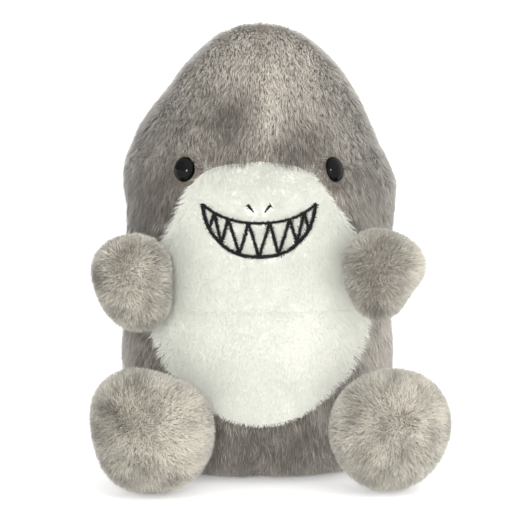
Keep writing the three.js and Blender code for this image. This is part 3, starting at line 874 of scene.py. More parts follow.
@dataclass
class Torso:
    """The head and body: backing cloth, grey and white pile, and the base."""

    form: BodyForm
    edge: WhiteEdge
    finishes: dict[str, Material]
    eyes: list[Vector]
    stitches: Array
    seam_gap: float = 0.05 * MM
    grey_pile: Pile = Pile(
        length=3.3 * MM, width=0.14 * MM, per_square_mm=10.5, depth=2.0 * MM, rise=0.52, reach=0.82,
        gather=0.18, scatter=0.15, uneven=0.25, strand_tones=0.12, pale_share=0.12,
    )
    white_pile: Pile = Pile(
        length=2.3 * MM, width=0.15 * MM, per_square_mm=13.0, depth=1.5 * MM, rise=0.6, reach=0.6,
        gather=0.1, swirl=0.2, scatter=0.3, softness=0.93, strand_tones=0.03, lock_tones=0.01,
    )
    base_pile: Pile = Pile(
        length=2.2 * MM, width=0.2 * MM, per_square_mm=4.0, depth=0.9 * MM, rise=0.3, reach=0.9, gather=0.4,
    )
    backing_thickness: float = 0.7 * MM
    # Painted light on the crown and on the toy's left, toward the light; painted shade on the toy's right,
    # away from the light, and low in front between the feet; the rest are lighter and darker patches of the
    # pile.
    patches: tuple[ShadePatch, ...] = (
        ShadePatch(8, 108, 14, 12, 0.24),
        ShadePatch(2, 102, 4, 12, 0.22),
        ShadePatch(0, 117, 16, 8, 0.12),
        ShadePatch(-9, 100, 8, 9, -0.46),
        ShadePatch(11, 94, 7, 7, -0.5),
        ShadePatch(0, 91, 12, 4, -0.2),
        ShadePatch(-24, 100, 8, 10, -0.08),
        ShadePatch(25, 101, 8, 10, -0.04),
        ShadePatch(30, 78, 9, 12, -0.2),
        ShadePatch(-30, 77, 13, 16, -0.54),
        ShadePatch(33, 40, 5, 12, 0.42),
        ShadePatch(-30, 36, 8, 12, -0.3),
        ShadePatch(0, 10, 22, 12, -0.48),
    )

    # Painted shade on the forehead and chest, where the key light falls strongest, and painted light low on
    # the toy's left between the arm and the foot, where shade falls.
    white_patches: tuple[ShadePatch, ...] = (
        ShadePatch(0, 88, 24, 9, -0.44),
        ShadePatch(22, 37, 10, 14, 0.9),
        ShadePatch(0, 66, 16, 14, -0.18),
    )

    def grey_side(self, side: Side, low: float, high: float, rows: int = 90, columns: int = 44) -> Patch:
        """Lay out one side of the grey cloth, from the white's edge round to the middle of the back.

        Args:
            side: Which side.
            low: Its lowest height.
            high: Its highest height.
            rows: Points up it.
            columns: Points round it.

        Returns:
            The patch.
        """
        line = self.form.outline(rows * 2)[:, 1]
        white = self.edge.line(2)[[0, 1], 1]
        tops = white + (0, 2.0 * MM)
        near = np.concatenate([np.linspace(top - 2.2 * MM, top + 0.2 * MM, 9) for top in tops])
        heights = np.unique(np.concatenate([line, near]))
        heights = np.concatenate([[low], heights[(heights > low) & (heights < high)], [high]])
        z = heights[:, None]
        white_edge = side.value * (self.edge.half_width(heights, side.value) + self.seam_gap)
        start = self.form.front_angle(white_edge, heights)[:, None]
        gap = self.seam_gap / np.maximum(self.form.widths(z), self.seam_gap * 2)
        end = side.value * (math.pi - gap) - math.pi / 2
        t = np.linspace(0.0, 1.0, columns)[None, :]
        points = self.form.place(start + (end - start) * t, z + 0 * t)
        inside = points * (0, 0, 1)
        inside[..., 2] = np.clip(points[..., 2], 15 * MM, self.form.height - 15 * MM)
        patch = Patch.from_grid(points, inside)
        if high > self.form.height - 1 * MM:
            patch.normals[-1] = (0.0, 0.0, 1.0)
        return patch

    def white_part(self, low: float, high: float, rows: int = 60, columns: int = 61) -> Patch:
        """Lay out the white cloth between two heights.

        Args:
            low: Its lowest height.
            high: Its highest height.
            rows: Points up it.
            columns: Points across it.

        Returns:
            The patch.
        """
        line = self.edge.line(rows * 2)
        line = line[(line[:, 1] > low) & (line[:, 1] < high)]
        cut = low if low > self.edge.line(2)[1, 1] else high
        ends = np.array([[self.edge.half_width(np.array([cut]))[0], cut]])
        line = np.concatenate([line, ends]) if cut == low else np.concatenate([ends, line])
        heights = line[:, 1]
        left, right = (self.edge.half_width(heights, sign) - self.seam_gap for sign in (1, -1))
        across = np.linspace(-1.0, 1.0, columns)[None, :]
        half = np.where(across > 0, left[:, None], right[:, None])
        z = heights[:, None] + 0 * across
        points = self.form.place(self.form.front_angle(np.maximum(half, 0.02 * MM) * across, z), z)
        return Patch.from_grid(points, points * (0, 0, 1) + (0, 0.02, 0))

    def comb_down(self, roots: Array, normals: Array) -> Array:
        """Comb the pile down the cloth, and round the eyes.

        Args:
            roots: Where the strands start.
            normals: The cloth's outward directions.

        Returns:
            Directions along the cloth.
        """
        straight = np.cross((1.0, 0.0, 0.0), normals)
        straight *= -np.sign(straight[:, 2:] + 1e-9)
        facing = np.maximum(ease(np.abs(normals[:, 1:2]), 0.1, 0.45), ease(normals[:, 2:], 0.9, 0.98))
        down = np.array((0.0, 0.0, -1.0)) * (1 - facing) + unit(straight) * facing
        for eye in self.eyes:
            away = roots - np.array(eye)
            distance = np.linalg.norm(away, axis=1, keepdims=True)
            down += 0.9 * unit(away) * (1 - ease(distance, 3 * MM, 8 * MM))
        along = down - normals * np.sum(down * normals, axis=1, keepdims=True)
        return unit(along)

    def comb_white(self, roots: Array, normals: Array) -> Array:
        """Comb the white pile down, and out over the grey along its sides."""
        x = roots[:, 0]
        half = np.maximum(self.edge.half_width(roots[:, 2], np.sign(x)), 1 * MM)
        out = np.stack([np.sign(x) * ease(np.abs(x) / half, 0.75, 1.0), 0 * x, 0 * x], axis=1)
        way = self.comb_down(roots, normals) + 0.9 * out
        return unit(way - normals * np.sum(way * normals, axis=1, keepdims=True))

    def near_eye(self, roots: Array) -> Array:
        """How far each root is from the nearer eye."""
        return np.min([np.linalg.norm(roots - np.array(eye), axis=1) for eye in self.eyes], axis=0)

    def grey_tone(self, roots: Array) -> Array:
        """Tone of the grey pile: mottled, with its lighter and darker patches, painted light on the crown,
        and painted shade under and round the eyes.
        """
        tone = 0.50 + 0.06 * SoftNoise(16 * MM, 3).at(roots) + 0.05 * SoftNoise(6 * MM, 4).at(roots)
        # painted light: the crown lighter, where the light from above falls
        tone += 0.18 * ease(roots[:, 2], 108 * MM, 122 * MM)
        for patch in self.patches:
            tone += patch.at(roots)
        # painted shade under and round the eyes
        below = 1 - ease(self.under_eyes(roots), 0.0, 5 * MM)
        return tone - 0.35 * below - 0.12 * (1 - ease(self.near_eye(roots), 3 * MM, 7 * MM))

    def under_eyes(self, roots: Array) -> Array:
        """How far each root is from the shaded place under the nearer eye."""
        drop = np.array((0.0, 0.0, -3.4 * MM))
        return np.min([np.linalg.norm(roots - np.array(eye) - drop, axis=1) for eye in self.eyes], axis=0)

    def white_tone(self, roots: Array) -> Array:
        """Tone of the white pile: even, with the faintest mottling, and patches of painted light and shade.
        """
        tone = 0.74 + 0.03 * SoftNoise(9 * MM, 7).at(roots)
        for patch in self.white_patches:
            tone += patch.at(roots)
        return tone

    def grey_length(self, roots: Array) -> Array:
        """Shorter pile beside the eyes and along the white's edge."""
        near = 0.45 + 0.55 * ease(self.near_eye(roots), 3 * MM, 10 * MM)
        gap = np.abs(np.abs(roots[:, 0]) - self.edge.half_width(roots[:, 2], np.sign(roots[:, 0])))
        front = roots[:, 1] < 0
        return near * np.where(front, 0.62 + 0.38 * ease(gap, 0.0, 5 * MM), 1.0)

    def from_stitches(self, roots: Array) -> Array:
        """How far each root is from the embroidery, seen from the front."""
        tree = KDTree(len(self.stitches))
        for index, (x, z) in enumerate(self.stitches):
            tree.insert((x, 0.0, z), index)
        tree.balance()
        return np.fromiter((tree.find((x, 0.0, z))[2] for x, _, z in roots), float, len(roots))

    def white_length(self, roots: Array) -> Array:
        """Short pile by the embroidery, a pressed fold at the neck, and longer pile at the sides."""
        x, z = np.abs(roots[:, 0]), roots[:, 2]
        near = 0.5 + 0.5 * ease(self.from_stitches(roots), 0.7 * MM, 2.6 * MM)
        side = 1 + 0.5 * ease(x / np.maximum(self.edge.half_width(z), 1 * MM), 0.72, 1.0)
        return near * (1 + (side - 1) * ease(z, 24 * MM, 40 * MM)) * (0.7 + 0.3 * ease(z, 20 * MM, 32 * MM))

    @staticmethod
    def thinner(roots: Array) -> Array:
        """The share of the strands kept: half as many behind as in front."""
        return 1 - 0.5 * ease(roots[:, 1], 0.0, 14 * MM)

    def clear_of_eyes(self, roots: Array) -> Array:
        """The share of the grey strands kept: none under the eyes."""
        return ease(self.near_eye(roots), 2.7 * MM, 3.4 * MM) * self.thinner(roots)

    def clear_of_stitches(self, roots: Array) -> Array:
        """The share of the white strands kept: none under the embroidery."""
        return ease(self.from_stitches(roots), 0.45 * MM, 0.75 * MM)

    def build(self) -> list[Piece]:
        """Build every piece of the head and body.

        Returns:
            The pieces.
        """
        made = []
        neck, gap, top = self.form.neck, self.seam_gap, self.form.height
        grey_cloth, white_cloth = self.finishes["grey_backing"], self.finishes["white_backing"]

        def coat(name: str, pile: Pile, finish: str, seed: int, patch: Patch, **fields: Field) -> Piece:
            """Grow one coat of the head or body."""
            comb = self.comb_white if finish == "white_strands" else self.comb_down
            return PileCoat(name, pile, self.finishes[finish], seed, comb, **fields).grow([patch])

        def dressed(piece: Piece, slot: str, *nodes: str) -> None:
            """Settle a piece on the torso, and note it."""
            made.append(settle(piece, "torso", slot, *nodes))

        for side in Side:
            head = self.grey_side(side, neck + gap, top - 0.01 * MM)
            cloth = head.cloth(f"head_cloth_{side.word}", grey_cloth, 2.0 * MM, self.backing_thickness)
            dressed(cloth, "grey_pile", f"head_skin_{side.word}")
            fur = coat(
                f"head_pile_{side.word}", self.grey_pile, "grey_strands", 11 + side.value, head,
                tone=self.grey_tone, length_scale=self.grey_length, keep=self.clear_of_eyes,
            )
            dressed(fur, "grey_pile")
        for side in Side:
            body = self.grey_side(side, 0.3 * MM, neck - gap)
            cloth = body.cloth(f"body_cloth_{side.word}", grey_cloth, 2.0 * MM, self.backing_thickness)
            dressed(cloth, "grey_pile", "body_skin")
            fur = coat(
                f"body_pile_{side.word}", self.grey_pile, "grey_strands", 21 + side.value, body,
                tone=self.grey_tone, length_scale=self.grey_length, keep=self.thinner,
            )
            dressed(fur, "grey_pile")
        for name, low, high, seed in (("face", neck, top, 31), ("tummy", 0.0, neck, 32)):
            cloth = self.white_part(low, high).cloth(
                f"{name}_cloth", white_cloth, 1.5 * MM, self.backing_thickness
            )
            dressed(cloth, "white_pile", f"{name}_panel")
            grown = self.white_part(low - 1.2 * MM * (low > 0), high)
            fur = coat(
                f"{name}_pile", self.white_pile, "white_strands", seed, grown,
                tone=self.white_tone, length_scale=self.white_length, keep=self.clear_of_stitches,
            )
            dressed(fur, "white_pile")
        self.base(dressed)
        return made

    def base(self, dressed: Callable[..., None]) -> None:
        """Build the flat base with its short pressed pile.

        Args:
            dressed: Holds a piece to the torso, and notes it.
        """
        line = self.form.outline(4)
        share = np.linspace(0.02, 1.0, 14)[:, None]
        turn = np.linspace(0.0, 2 * math.pi, 73)[None, :]
        rim = self.form.place(turn[0], np.full(73, line[0, 1] + 0.25 * MM))
        points = np.stack([rim[:, 0] * share, rim[:, 1] * share, 0.25 * MM + 0 * share * rim[:, 0]], axis=-1)
        patch = Patch.from_grid(points, np.array((0.0, 0.0, 0.02)))
        cloth = patch.cloth("base_cloth", self.finishes["grey_backing"], 0.9 * MM, self.backing_thickness)
        dressed(cloth, "grey_pile", "base_panel")

        def outward(roots: Array, normals: Array) -> Array:
            """Comb the pile out from the middle of the base, and a little back."""
            return unit(roots * (1, 1, 0) + (0.0, 6 * MM, 0.0))

        strands = self.finishes["grey_strands"]
        coat = PileCoat("base_pile", self.base_pile, strands, 41, outward, tone=self.grey_tone)
        dressed(coat.grow([Patch(patch.points[:-2], patch.normals[:-2])]), "grey_pile")


# ---------------------------------------------------------------- limbs, fin and tail


@dataclass(frozen=True)
class LimbForm:
    """A round stuffed limb: a ball root at its pivot, a swelling and a round end."""

    root: float
    stations: tuple[Pair, ...]
    length: float
    lobes: tuple[float, ...] = (1.0,) * 8

    def swell(self, turn: Array, along: Array) -> Array:
        """How far the section stands out of round.

        Args:
            turn: Turns about the limb, in radians from its across direction.
            along: Distances along it.

        Returns:
            Factors for the radius, which are 1 at the root.
        """
        waves = np.fft.rfft(self.lobes) / len(self.lobes)
        sized = np.full(np.shape(turn), waves[0].real)
        for rate, wave in enumerate(waves[1:], 1):
            gain = 1.0 if rate * 2 == len(self.lobes) else 2.0
            sized = sized + gain * (wave.real * np.cos(rate * turn) - wave.imag * np.sin(rate * turn))
        return 1 + (sized - 1) * ease(along, 0.1 * self.length * MM, 0.4 * self.length * MM)

    def outline(self, count: int) -> Array:
        """Rows of distance along the limb and radius, from the back of the root to the tip."""
        rear = [(-self.root * math.cos(1.5 * t), self.root * math.sin(1.5 * t)) for t in (0.0, 0.3, 0.65)]
        line = along_spline((*rear, *self.stations, (self.length, 0.0)), 300)
        return evenly(line, count) * MM


@dataclass(frozen=True)
class LimbLook:
    """How a limb's pile lies, and how light it is.

    The parting's two ends are across and above the tip, in mm. The flow is the way that all of the
    pile leans, across and up. The patches stand about the limb's middle: the pile's own lighter and
    darker cloth, with painted light on the side toward the light and painted shade on the side away.
    """

    seed: int
    parting: tuple[Pair, Pair]
    flow: Pair
    tone: float
    patches: tuple[ShadePatch, ...]


@dataclass
class Limb:
    """An arm or a foot: two halves of backing cloth and one coat of pile."""

    name: str
    form: LimbForm
    look: LimbLook
    pivot: Vector
    ahead: Vector
    halves: tuple[str, str]
    finishes: dict[str, Material]
    pile: Pile = Pile(
        length=2.7 * MM, width=0.16 * MM, per_square_mm=12.0, depth=2.0 * MM, rise=0.8, reach=0.45,
        gather=0.1, scatter=1.0, uneven=0.18, strand_tones=0.14, pale_share=0.12, guard_gain=1.15,
    )
    stitches: int = 12

    def axes(self) -> tuple[Array, Array, Array]:
        """The limb's own directions: ahead, across and up."""
        ahead = unit(np.array(self.ahead))
        across = unit(np.cross((0.0, 0.0, 1.0), ahead))
        return ahead, across, np.cross(ahead, across)

    def patch(self, start: float, end: float, rows: int = 34, columns: int = 33) -> Patch:
        """Lay out the cloth between two turns about the limb.

        Args:
            start: The first turn, in radians from the across direction.
            end: The last turn.
            rows: Points along the limb.
            columns: Points round it.

        Returns:
            The patch.
        """
        ahead, across, up = self.axes()
        line = self.form.outline(rows)
        line[[0, -1], 1] = 0.05 * MM
        turn = np.linspace(start, end, columns)[None, :, None]
        along, radius = line[:, :1, None], line[:, 1:, None]
        radius = radius * self.form.swell(turn, along)
        points = np.array(self.pivot) + ahead * along + radius * (across * np.cos(turn) + up * np.sin(turn))
        centre = np.array(self.pivot) + ahead * np.clip(along, 0.0, 0.7 * self.form.length * MM) + 0 * turn
        return Patch.from_grid(points, centre)

    def comb(self, roots: Array, normals: Array) -> Array:
        """Comb the pile out from the parting near the tip, and along the limb's flow.

        Args:
            roots: Where the strands start.
            normals: The cloth's outward directions.

        Returns:
            Directions along the cloth.
        """
        ahead, across, up = self.axes()
        tip = np.array(self.pivot) + ahead * self.form.length * MM
        start, end = (tip + (across * aside + up * above) * MM for aside, above in self.look.parting)
        run = end - start
        share = np.clip((roots - start) @ run / (run @ run), 0.0, 1.0)
        away = unit(roots - start - share[:, None] * run) + (self.look.flow[0], 0.0, self.look.flow[1])
        along = away - normals * np.sum(away * normals, axis=1, keepdims=True)
        return unit(along)

    def tones(self, roots: Array) -> Array:
        """Tone of the pile: soft patches, and darker at the root, a painted shade where the limb meets the
        body.
        """
        tone = self.look.tone + 0.13 * SoftNoise(11 * MM, self.look.seed + 5).at(roots)
        behind = (roots - np.array(self.pivot)) @ self.axes()[0]
        # painted shade where the limb meets the body
        tone -= 0.20 * (1 - ease(behind, 0.0, 8 * MM))
        heart = np.array(self.pivot) + self.axes()[0] * 0.6 * self.form.length * MM
        for patch in self.look.patches:
            tone += patch.at(roots - heart)
        return tone

    def lengths(self, roots: Array) -> Array:
        """How long the pile is, as a share: shorter at the limb's root."""
        return 0.45 + 0.55 * ease((roots - np.array(self.pivot)) @ self.axes()[0], 0.0, 7 * MM)

    def build(self) -> list[Piece]:
        """Build the limb's pieces.

        Returns:
            The pieces.
        """
        made = []
        patches = [self.patch(*turns) for turns in self.turns()]
        for word, patch in zip(self.halves, patches):
            backing = self.finishes["pale_backing"]
            cloth = patch.cloth(f"{self.name}_{word}_cloth", backing, 2.0 * MM, 0.7 * MM)
            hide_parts(f"{self.name}_{word}_skin")
            made.append(cloth)
        coat = PileCoat(
            f"{self.name}_pile", self.pile, self.finishes["pale_strands"], self.look.seed, self.comb,
            tone=self.tones, length_scale=self.lengths,
        )
        made.append(coat.grow(patches))
        for piece in made:
            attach(piece, self.name)
        return [*made, self.root_stitches()]

    def root_stitches(self) -> Piece:
        """Sew the limb on with slanted stitches round its root, sunk in its pile."""
        ahead, across, up = self.axes()
        reach = np.linspace(-0.5, 0.5, 7)[:, None]
        middle = np.array(self.pivot) + ahead * 2.4 * MM * reach
        rows = []
        for turn in np.linspace(0.0, 2 * math.pi, self.stitches + 1)[:-1]:
            around = turn + 0.5 * reach
            out = across * np.cos(around) + up * np.sin(around)
            rows.append((middle + out * 0.86 * self.form.root * MM, out))
        piece = thread_mesh(f"{self.name}_root_stitches", rows, 0.13 * MM, self.finishes["grey_thread"])
        return settle(piece, self.name, "grey_thread", f"{self.name}_root_stitch")

    def turns(self) -> list[tuple[float, float]]:
        """Where each half of the cloth starts and ends, about the limb."""
        gap = 0.005
        first = {"outer": -math.pi / 2, "upper": 0.0, "inner": math.pi / 2, "lower": math.pi}
        flip = self.pivot.x < 0 and self.halves[0] == "outer"
        starts = [first[word] + (math.pi if flip else 0.0) for word in self.halves]
        return [(start + gap, start + math.pi - gap) for start in starts]


@dataclass
class Pad:
    """A flat stuffed pad in the plane of the middle: the back fin or the tail."""

    name: str
    heart: tuple[float, float]
    outline: tuple[Pair, ...]
    thickness: float
    finishes: dict[str, Material]
    seed: int
    pile: Pile = Pile(length=3.0 * MM, width=0.16 * MM, per_square_mm=7.0, depth=1.3 * MM)

    def patch(self, side: Side, turns: int = 61, rings: int = 16) -> Patch:
        """Lay out one face of the pad.

        Args:
            side: Which face.
            turns: Points round it.
            rings: Points from its middle to its rim.

        Returns:
            The patch.
        """
        closed = (*self.outline[-2:], *self.outline, *self.outline[:2])
        samples = along_spline(closed, 40 * (len(closed) - 1) + 1)[80:-40]
        rim = evenly(samples, turns) * MM
        heart = np.array(self.heart) * MM
        polar = np.linspace(0.02, math.pi / 2 - 0.02, rings)[:, None]
        spokes = rim[None, :, :] - heart
        reach = np.sin(polar)[..., None] ** 0.8
        flat = heart + spokes * reach
        out = np.cos(polar) * self.thickness / 2 * MM * side.value + 0 * flat[..., 0]
        points = np.stack([out, flat[..., 0], flat[..., 1]], axis=-1)
        inside = np.concatenate([0 * out[..., None], heart + 0.8 * (flat - heart)], axis=-1)
        return Patch.from_grid(points, inside)

    def comb(self, roots: Array, normals: Array) -> Array:
        """Comb the pile back and down, from the root to the trailing edge."""
        way = np.tile((0.0, 0.8, -0.6), (len(roots), 1))
        return unit(way - normals * np.sum(way * normals, axis=1, keepdims=True))

    def tones(self, roots: Array) -> Array:
        """Tone of the pile, faintly mottled."""
        return 0.42 + 0.15 * SoftNoise(10 * MM, self.seed).at(roots)

    def build(self) -> list[Piece]:
        """Build the pad's pieces.

        Returns:
            The pieces.
        """
        made, patches = [], [self.patch(side) for side in Side]
        for side, patch in zip(Side, patches):
            backing = self.finishes["grey_backing"]
            cloth = patch.cloth(f"{self.name}_cloth_{side.word}", backing, 1.2 * MM, 0.5 * MM)
            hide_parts(f"{self.name}_skin_{side.word}")
            made.append(cloth)
        strands = self.finishes["grey_strands"]
        coat = PileCoat(f"{self.name}_pile", self.pile, strands, self.seed, self.comb, tone=self.tones)
        made.append(coat.grow(patches))
        for piece in made:
            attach(piece, self.name)
        return made


# ---------------------------------------------------------------- face


@dataclass
class Eye:
    """A domed button eye on its shank."""

    side: Side
    node: Piece
    form: BodyForm
    finish: Material
    radius: float = 3.5 * MM
    dome: float = 2.7 * MM
    lip: float = 0.5 * MM
    shank: float = 1.4 * MM
    narrow: float = 0.88
    turned_out: dict[Side, float] = field(default_factory=lambda: {Side.LEFT: 0.36, Side.RIGHT: -0.1})

    def frame(self) -> tuple[Array, Array]:
        """The button's outermost point and the way it faces, from its solid."""
        points = np.array([v.co for v in self.node.data.vertices])
        middle = points.mean(axis=0)
        away = points - middle
        way = np.linalg.svd(away, full_matrices=False)[2]
        facing = max(way, key=lambda axis: np.ptp(away @ axis))
        facing = facing * (-1.0 if facing[1] > 0 else 1.0)
        reach = (points @ facing).max()
        on_axis = points[np.argmax(points @ facing)]
        return on_axis + facing * (reach - on_axis @ facing), facing

    def build(self) -> list[Piece]:
        """Build the smooth button.

        Returns:
            The one piece.
        """
        top, facing = self.frame()
        seat = Vector(top - facing * self.dome)
        turn = Matrix.Rotation(self.turned_out[self.side] * self.side.value, 3, "Z")
        facing = np.array(turn @ Vector(facing))
        top = np.array(seat) + facing * self.dome
        length = np.ptp(np.array([v.co for v in self.node.data.vertices]) @ facing)
        curve = np.linspace(0.0, math.pi / 2, 14)
        swell = -self.dome + self.lip + (self.dome - self.lip) * np.sin(curve)
        dome = np.stack([self.radius * np.cos(curve), swell], axis=1)
        rim = -self.dome
        edge = [(self.shank * 0.6, -length), (self.shank, -length + 0.4 * MM), (self.shank, rim - 0.2 * MM),
                (self.shank + 0.4 * MM, rim), (self.radius - 0.25 * MM, rim), (self.radius, rim + 0.2 * MM)]
        profile = np.concatenate([[(0.001 * MM, -length)], edge, dome[:-1], [(0.001 * MM, 0.0)]])
        turns = np.linspace(0.0, 2 * math.pi, 41)[:-1]
        across = unit(np.cross(facing, (0.0, 0.0, 1.0)))
        up = np.cross(across, facing)
        ring = self.narrow * across * np.cos(turns)[:, None] + up * np.sin(turns)[:, None]
        points = top + profile[:, None, :1] * ring + profile[:, None, 1:] * facing
        rows, columns = points.shape[:2]
        corner = np.arange(rows * columns).reshape(rows, columns)
        after = np.roll(corner, -1, axis=1)
        quads = grid_quads(corner, after)
        caps = [corner[:1, ::-1], corner[-1:]]
        made = mesh_object(f"eye_button_{self.side.word}", points.reshape(-1, 3), [quads, *caps], self.finish)
        return [settle(made, "torso", "eye_gloss", self.node.name)]


@dataclass
class Grin:
    """The satin-stitched mouth, teeth and nostrils."""

    form: BodyForm
    finish: Material
    upper: tuple[Pair, ...] = ((0.412, 0.611), (0.291, 0.588), (0.144, 0.575), (0, 0.5715))
    lower: tuple[Pair, ...] = (
        (0.412, 0.611), (0.364, 0.56), (0.251, 0.521), (0.134, 0.5035), (0, 0.499),
    )
    tooth_tops: tuple[float, ...] = (0.0775, 0.222, 0.3235)
    tooth_feet: tuple[float, ...] = (0, 0.14, 0.273, 0.36)
    nostril: tuple[Pair, ...] = ((0.083, 0.6105), (0.067, 0.6055), (0.04, 0.596))
    shift: tuple[float, float] = (-0.3 * MM, 0.0)
    width: float = 1.1 * MM
    thread: float = 0.26 * MM
    pitch: float = 0.22 * MM
    lift: float = 0.35 * MM

    def halves(self) -> tuple[Array, Array]:
        """The halves of the upper and lower lines on the toy's left, from the corner to the middle."""
        return (evenly(along_spline(line, 120) * self.sizes, 90) for line in (self.upper, self.lower))

    @property
    def sizes(self) -> Array:
        """The form's half width and height, which the shares are of."""
        return np.array((self.form.half_width, self.form.height))

    def lines(self) -> dict[str, list[tuple[Array, float, float]]]:
        """Every stitched line with its widths, by piece.

        Returns:
            Lines of x and height in metres, with the width of each at its start and its end.
        """
        upper, lower = self.halves()
        mirror = np.array((-1.0, 1.0))
        full = [np.concatenate([half, half[-2::-1] * mirror]) for half in (upper, lower)]
        mouth = [(full[0], self.width * 0.75, self.width * 0.75), (full[1], self.width, self.width)]

        def height(line: Array, x: float) -> float:
            """Height of a line at x."""
            return float(np.interp(x, line[::-1, 0], line[::-1, 1]))

        for index, top in enumerate(np.array(self.tooth_tops) * self.form.half_width):
            for foot in np.array(self.tooth_feet[index : index + 2]) * self.form.half_width:
                ends = np.array([(top, height(upper, top)), (foot, height(lower, foot))])
                for flip in (1.0, -1.0):
                    mouth.append((evenly(ends * (flip, 1.0), 12), self.width * 0.95, self.width * 0.8))
        pieces = {"mouth_embroidery": mouth}
        for side in Side:
            dot = np.array(self.nostril) * self.sizes * (side.value, 1.0)
            pieces[f"nostril_embroidery_{side.word}"] = [(evenly(dot, 8), self.width, self.width * 0.25)]
        return {
            name: [(line + self.shift, start, end) for line, start, end in rows]
            for name, rows in pieces.items()
        }

    def footprint(self) -> Array:
        """Points of x and height all along the embroidery."""
        lines = [line for rows in self.lines().values() for line, _, _ in rows]
        return np.concatenate([evenly(line, max(int(len(line) * 1.5), 30)) for line in lines])

    def stitched(
        self, line: Array, start: float, end: float, rng: np.random.Generator
    ) -> list[tuple[Array, Array]]:
        """Lay threads side by side across a line.

        Args:
            line: The line's x and height.
            start: How wide the satin stitch is where the line starts.
            end: How wide it is where the line ends.
            rng: The random draws.

        Returns:
            For each thread, its middle line and the outward directions along it.
        """
        run = float(np.sum(np.linalg.norm(np.diff(line, axis=0), axis=1)))
        middles = evenly(line, max(int(run / self.pitch), 9))
        ways = unit(np.gradient(middles, axis=0))
        threads = []
        widths = np.linspace(start, end, len(middles)) * (0.85 + 0.5 * (np.arange(len(middles)) % 3 == 0))
        for middle, way, width in zip(middles, ways, widths):
            across = np.array((-way[1], way[0])) + way * rng.uniform(0.10, 0.30)
            reach = np.linspace(-0.5, 0.5, 7)[:, None]
            flat = middle + across * (reach * width * rng.uniform(0.8, 1.25) + width * rng.normal(0, 0.07))
            point, normal = self.form.on_front(flat[:, 0], flat[:, 1])
            arch = (1 - (2 * reach) ** 4) * 0.45 * MM - 0.35 * MM
            threads.append((point + normal * (self.lift + arch), normal))
        return threads

    def build(self) -> list[Piece]:
        """Build the embroidery pieces.

        Returns:
            The pieces.
        """
        rng = np.random.default_rng(51)
        made = []
        for name, rows in self.lines().items():
            threads = [thread for row in rows for thread in self.stitched(*row, rng)]
            piece = thread_mesh(f"{name}_threads", threads, self.thread / 2, self.finish)
            made.append(settle(piece, "torso", "black_thread", name))
        return made


@dataclass
class Seams:
    """The thread of each seam, as running stitches of two twisted plies under the cloth."""

    form: BodyForm
    edge: WhiteEdge
    finish: Material
    base: tuple[Array, Array]
    depth: float = 2.9 * MM
    stitch: float = 3.0 * MM
    gap: float = 0.5 * MM
    ply: float = 0.09 * MM

    def lines(self) -> dict[str, Array]:
        """Where each seam runs.

        Returns:
            Points along each seam on the outside of the form, by frame node.
        """
        round_about = np.linspace(-math.pi, math.pi, 200)
        neck = self.form.place(round_about, np.full(200, self.form.neck))
        edge = self.edge.line(200)
        upper, lower = edge[edge[:, 1] > self.form.neck + 2 * MM], edge[edge[:, 1] < self.form.neck - 2 * MM]
        seams = {"neck_seam_thread": neck}
        for name, half in (("face_seam_thread", upper[::-1]), ("tummy_seam_thread", lower)):
            z = np.concatenate([half[:, 1], half[::-1, 1]])
            left, right = (self.edge.half_width(half[::way, 1], way) for way in (1, -1))
            x = np.concatenate([left, -right])
            seams[name] = self.form.place(self.form.front_angle(x, z), z)
        front = np.linspace(edge[0, 1] + 2 * MM, self.form.height - 3 * MM, 60)
        back = np.linspace(self.form.height - 3 * MM, self.form.neck + 2 * MM, 90)
        quarter = math.pi / 2
        halves = [
            self.form.place(np.full(len(z), turn), z) for z, turn in ((front, -quarter), (back, quarter))
        ]
        crown = np.array([(0.0, 0.0, self.form.height)])
        seams["crown_seam_thread"] = np.concatenate([halves[0], crown, halves[1]])
        low, high = self.base
        middle, half = (low + high) / 2, (high - low) / 2
        around = np.stack([np.cos(round_about), np.sin(round_about), 0 * round_about], axis=1)
        seams["base_seam_thread"] = middle * (1, 1, 0) + around * half * (1, 1, 0)
        return seams

    def build(self) -> list[Piece]:
        """Build the stitches of each seam.

        Returns:
            The pieces.
        """
        made = []
        heart = np.array((0.0, 0.0, self.form.height / 2))
        for name, line in self.lines().items():
            run = float(np.sum(np.linalg.norm(np.diff(line, axis=0), axis=1)))
            count = max(int(run / self.stitch), 4)
            path = evenly(line, count * 12)
            out = unit(path - heart)
            path = path - out * self.depth
            rows = []
            for start in range(0, count * 12, 12):
                span = slice(start, start + 11)
                middle, outward = path[span], out[span]
                twist = np.linspace(0.0, 3 * math.pi, len(middle))[:, None]
                across = unit(np.cross(np.gradient(middle, axis=0), outward))
                for turn in (0.0, math.pi):
                    swing = across * np.cos(twist + turn) + outward * np.sin(twist + turn)
                    rows.append((middle + swing * self.ply, outward))
            piece = thread_mesh(name.replace("_thread", "_stitches"), rows, self.ply * 1.05, self.finish)
            made.append(settle(piece, "torso", "grey_thread", name))
        return [*made, self.closing()]

    def closing(self) -> Piece:
        """Close the opening in the back with a short ladder of stitches, half sunk in the pile."""
        rows = []
        across = np.linspace(-1.6 * MM, 1.6 * MM, 9)
        for height in np.linspace(28 * MM, 44 * MM, 9):
            turn = math.pi / 2 - across / self.form.half_width
            point = self.form.place(turn, height + 0.25 * across)
            out = unit(point * (1, 1, 0))
            rows.append((point - out * 0.75 * MM, out))
        piece = thread_mesh("back_closing_stitches", rows, 0.16 * MM, self.finish)
        return settle(piece, "torso", "grey_thread", "back_closing_stitch")


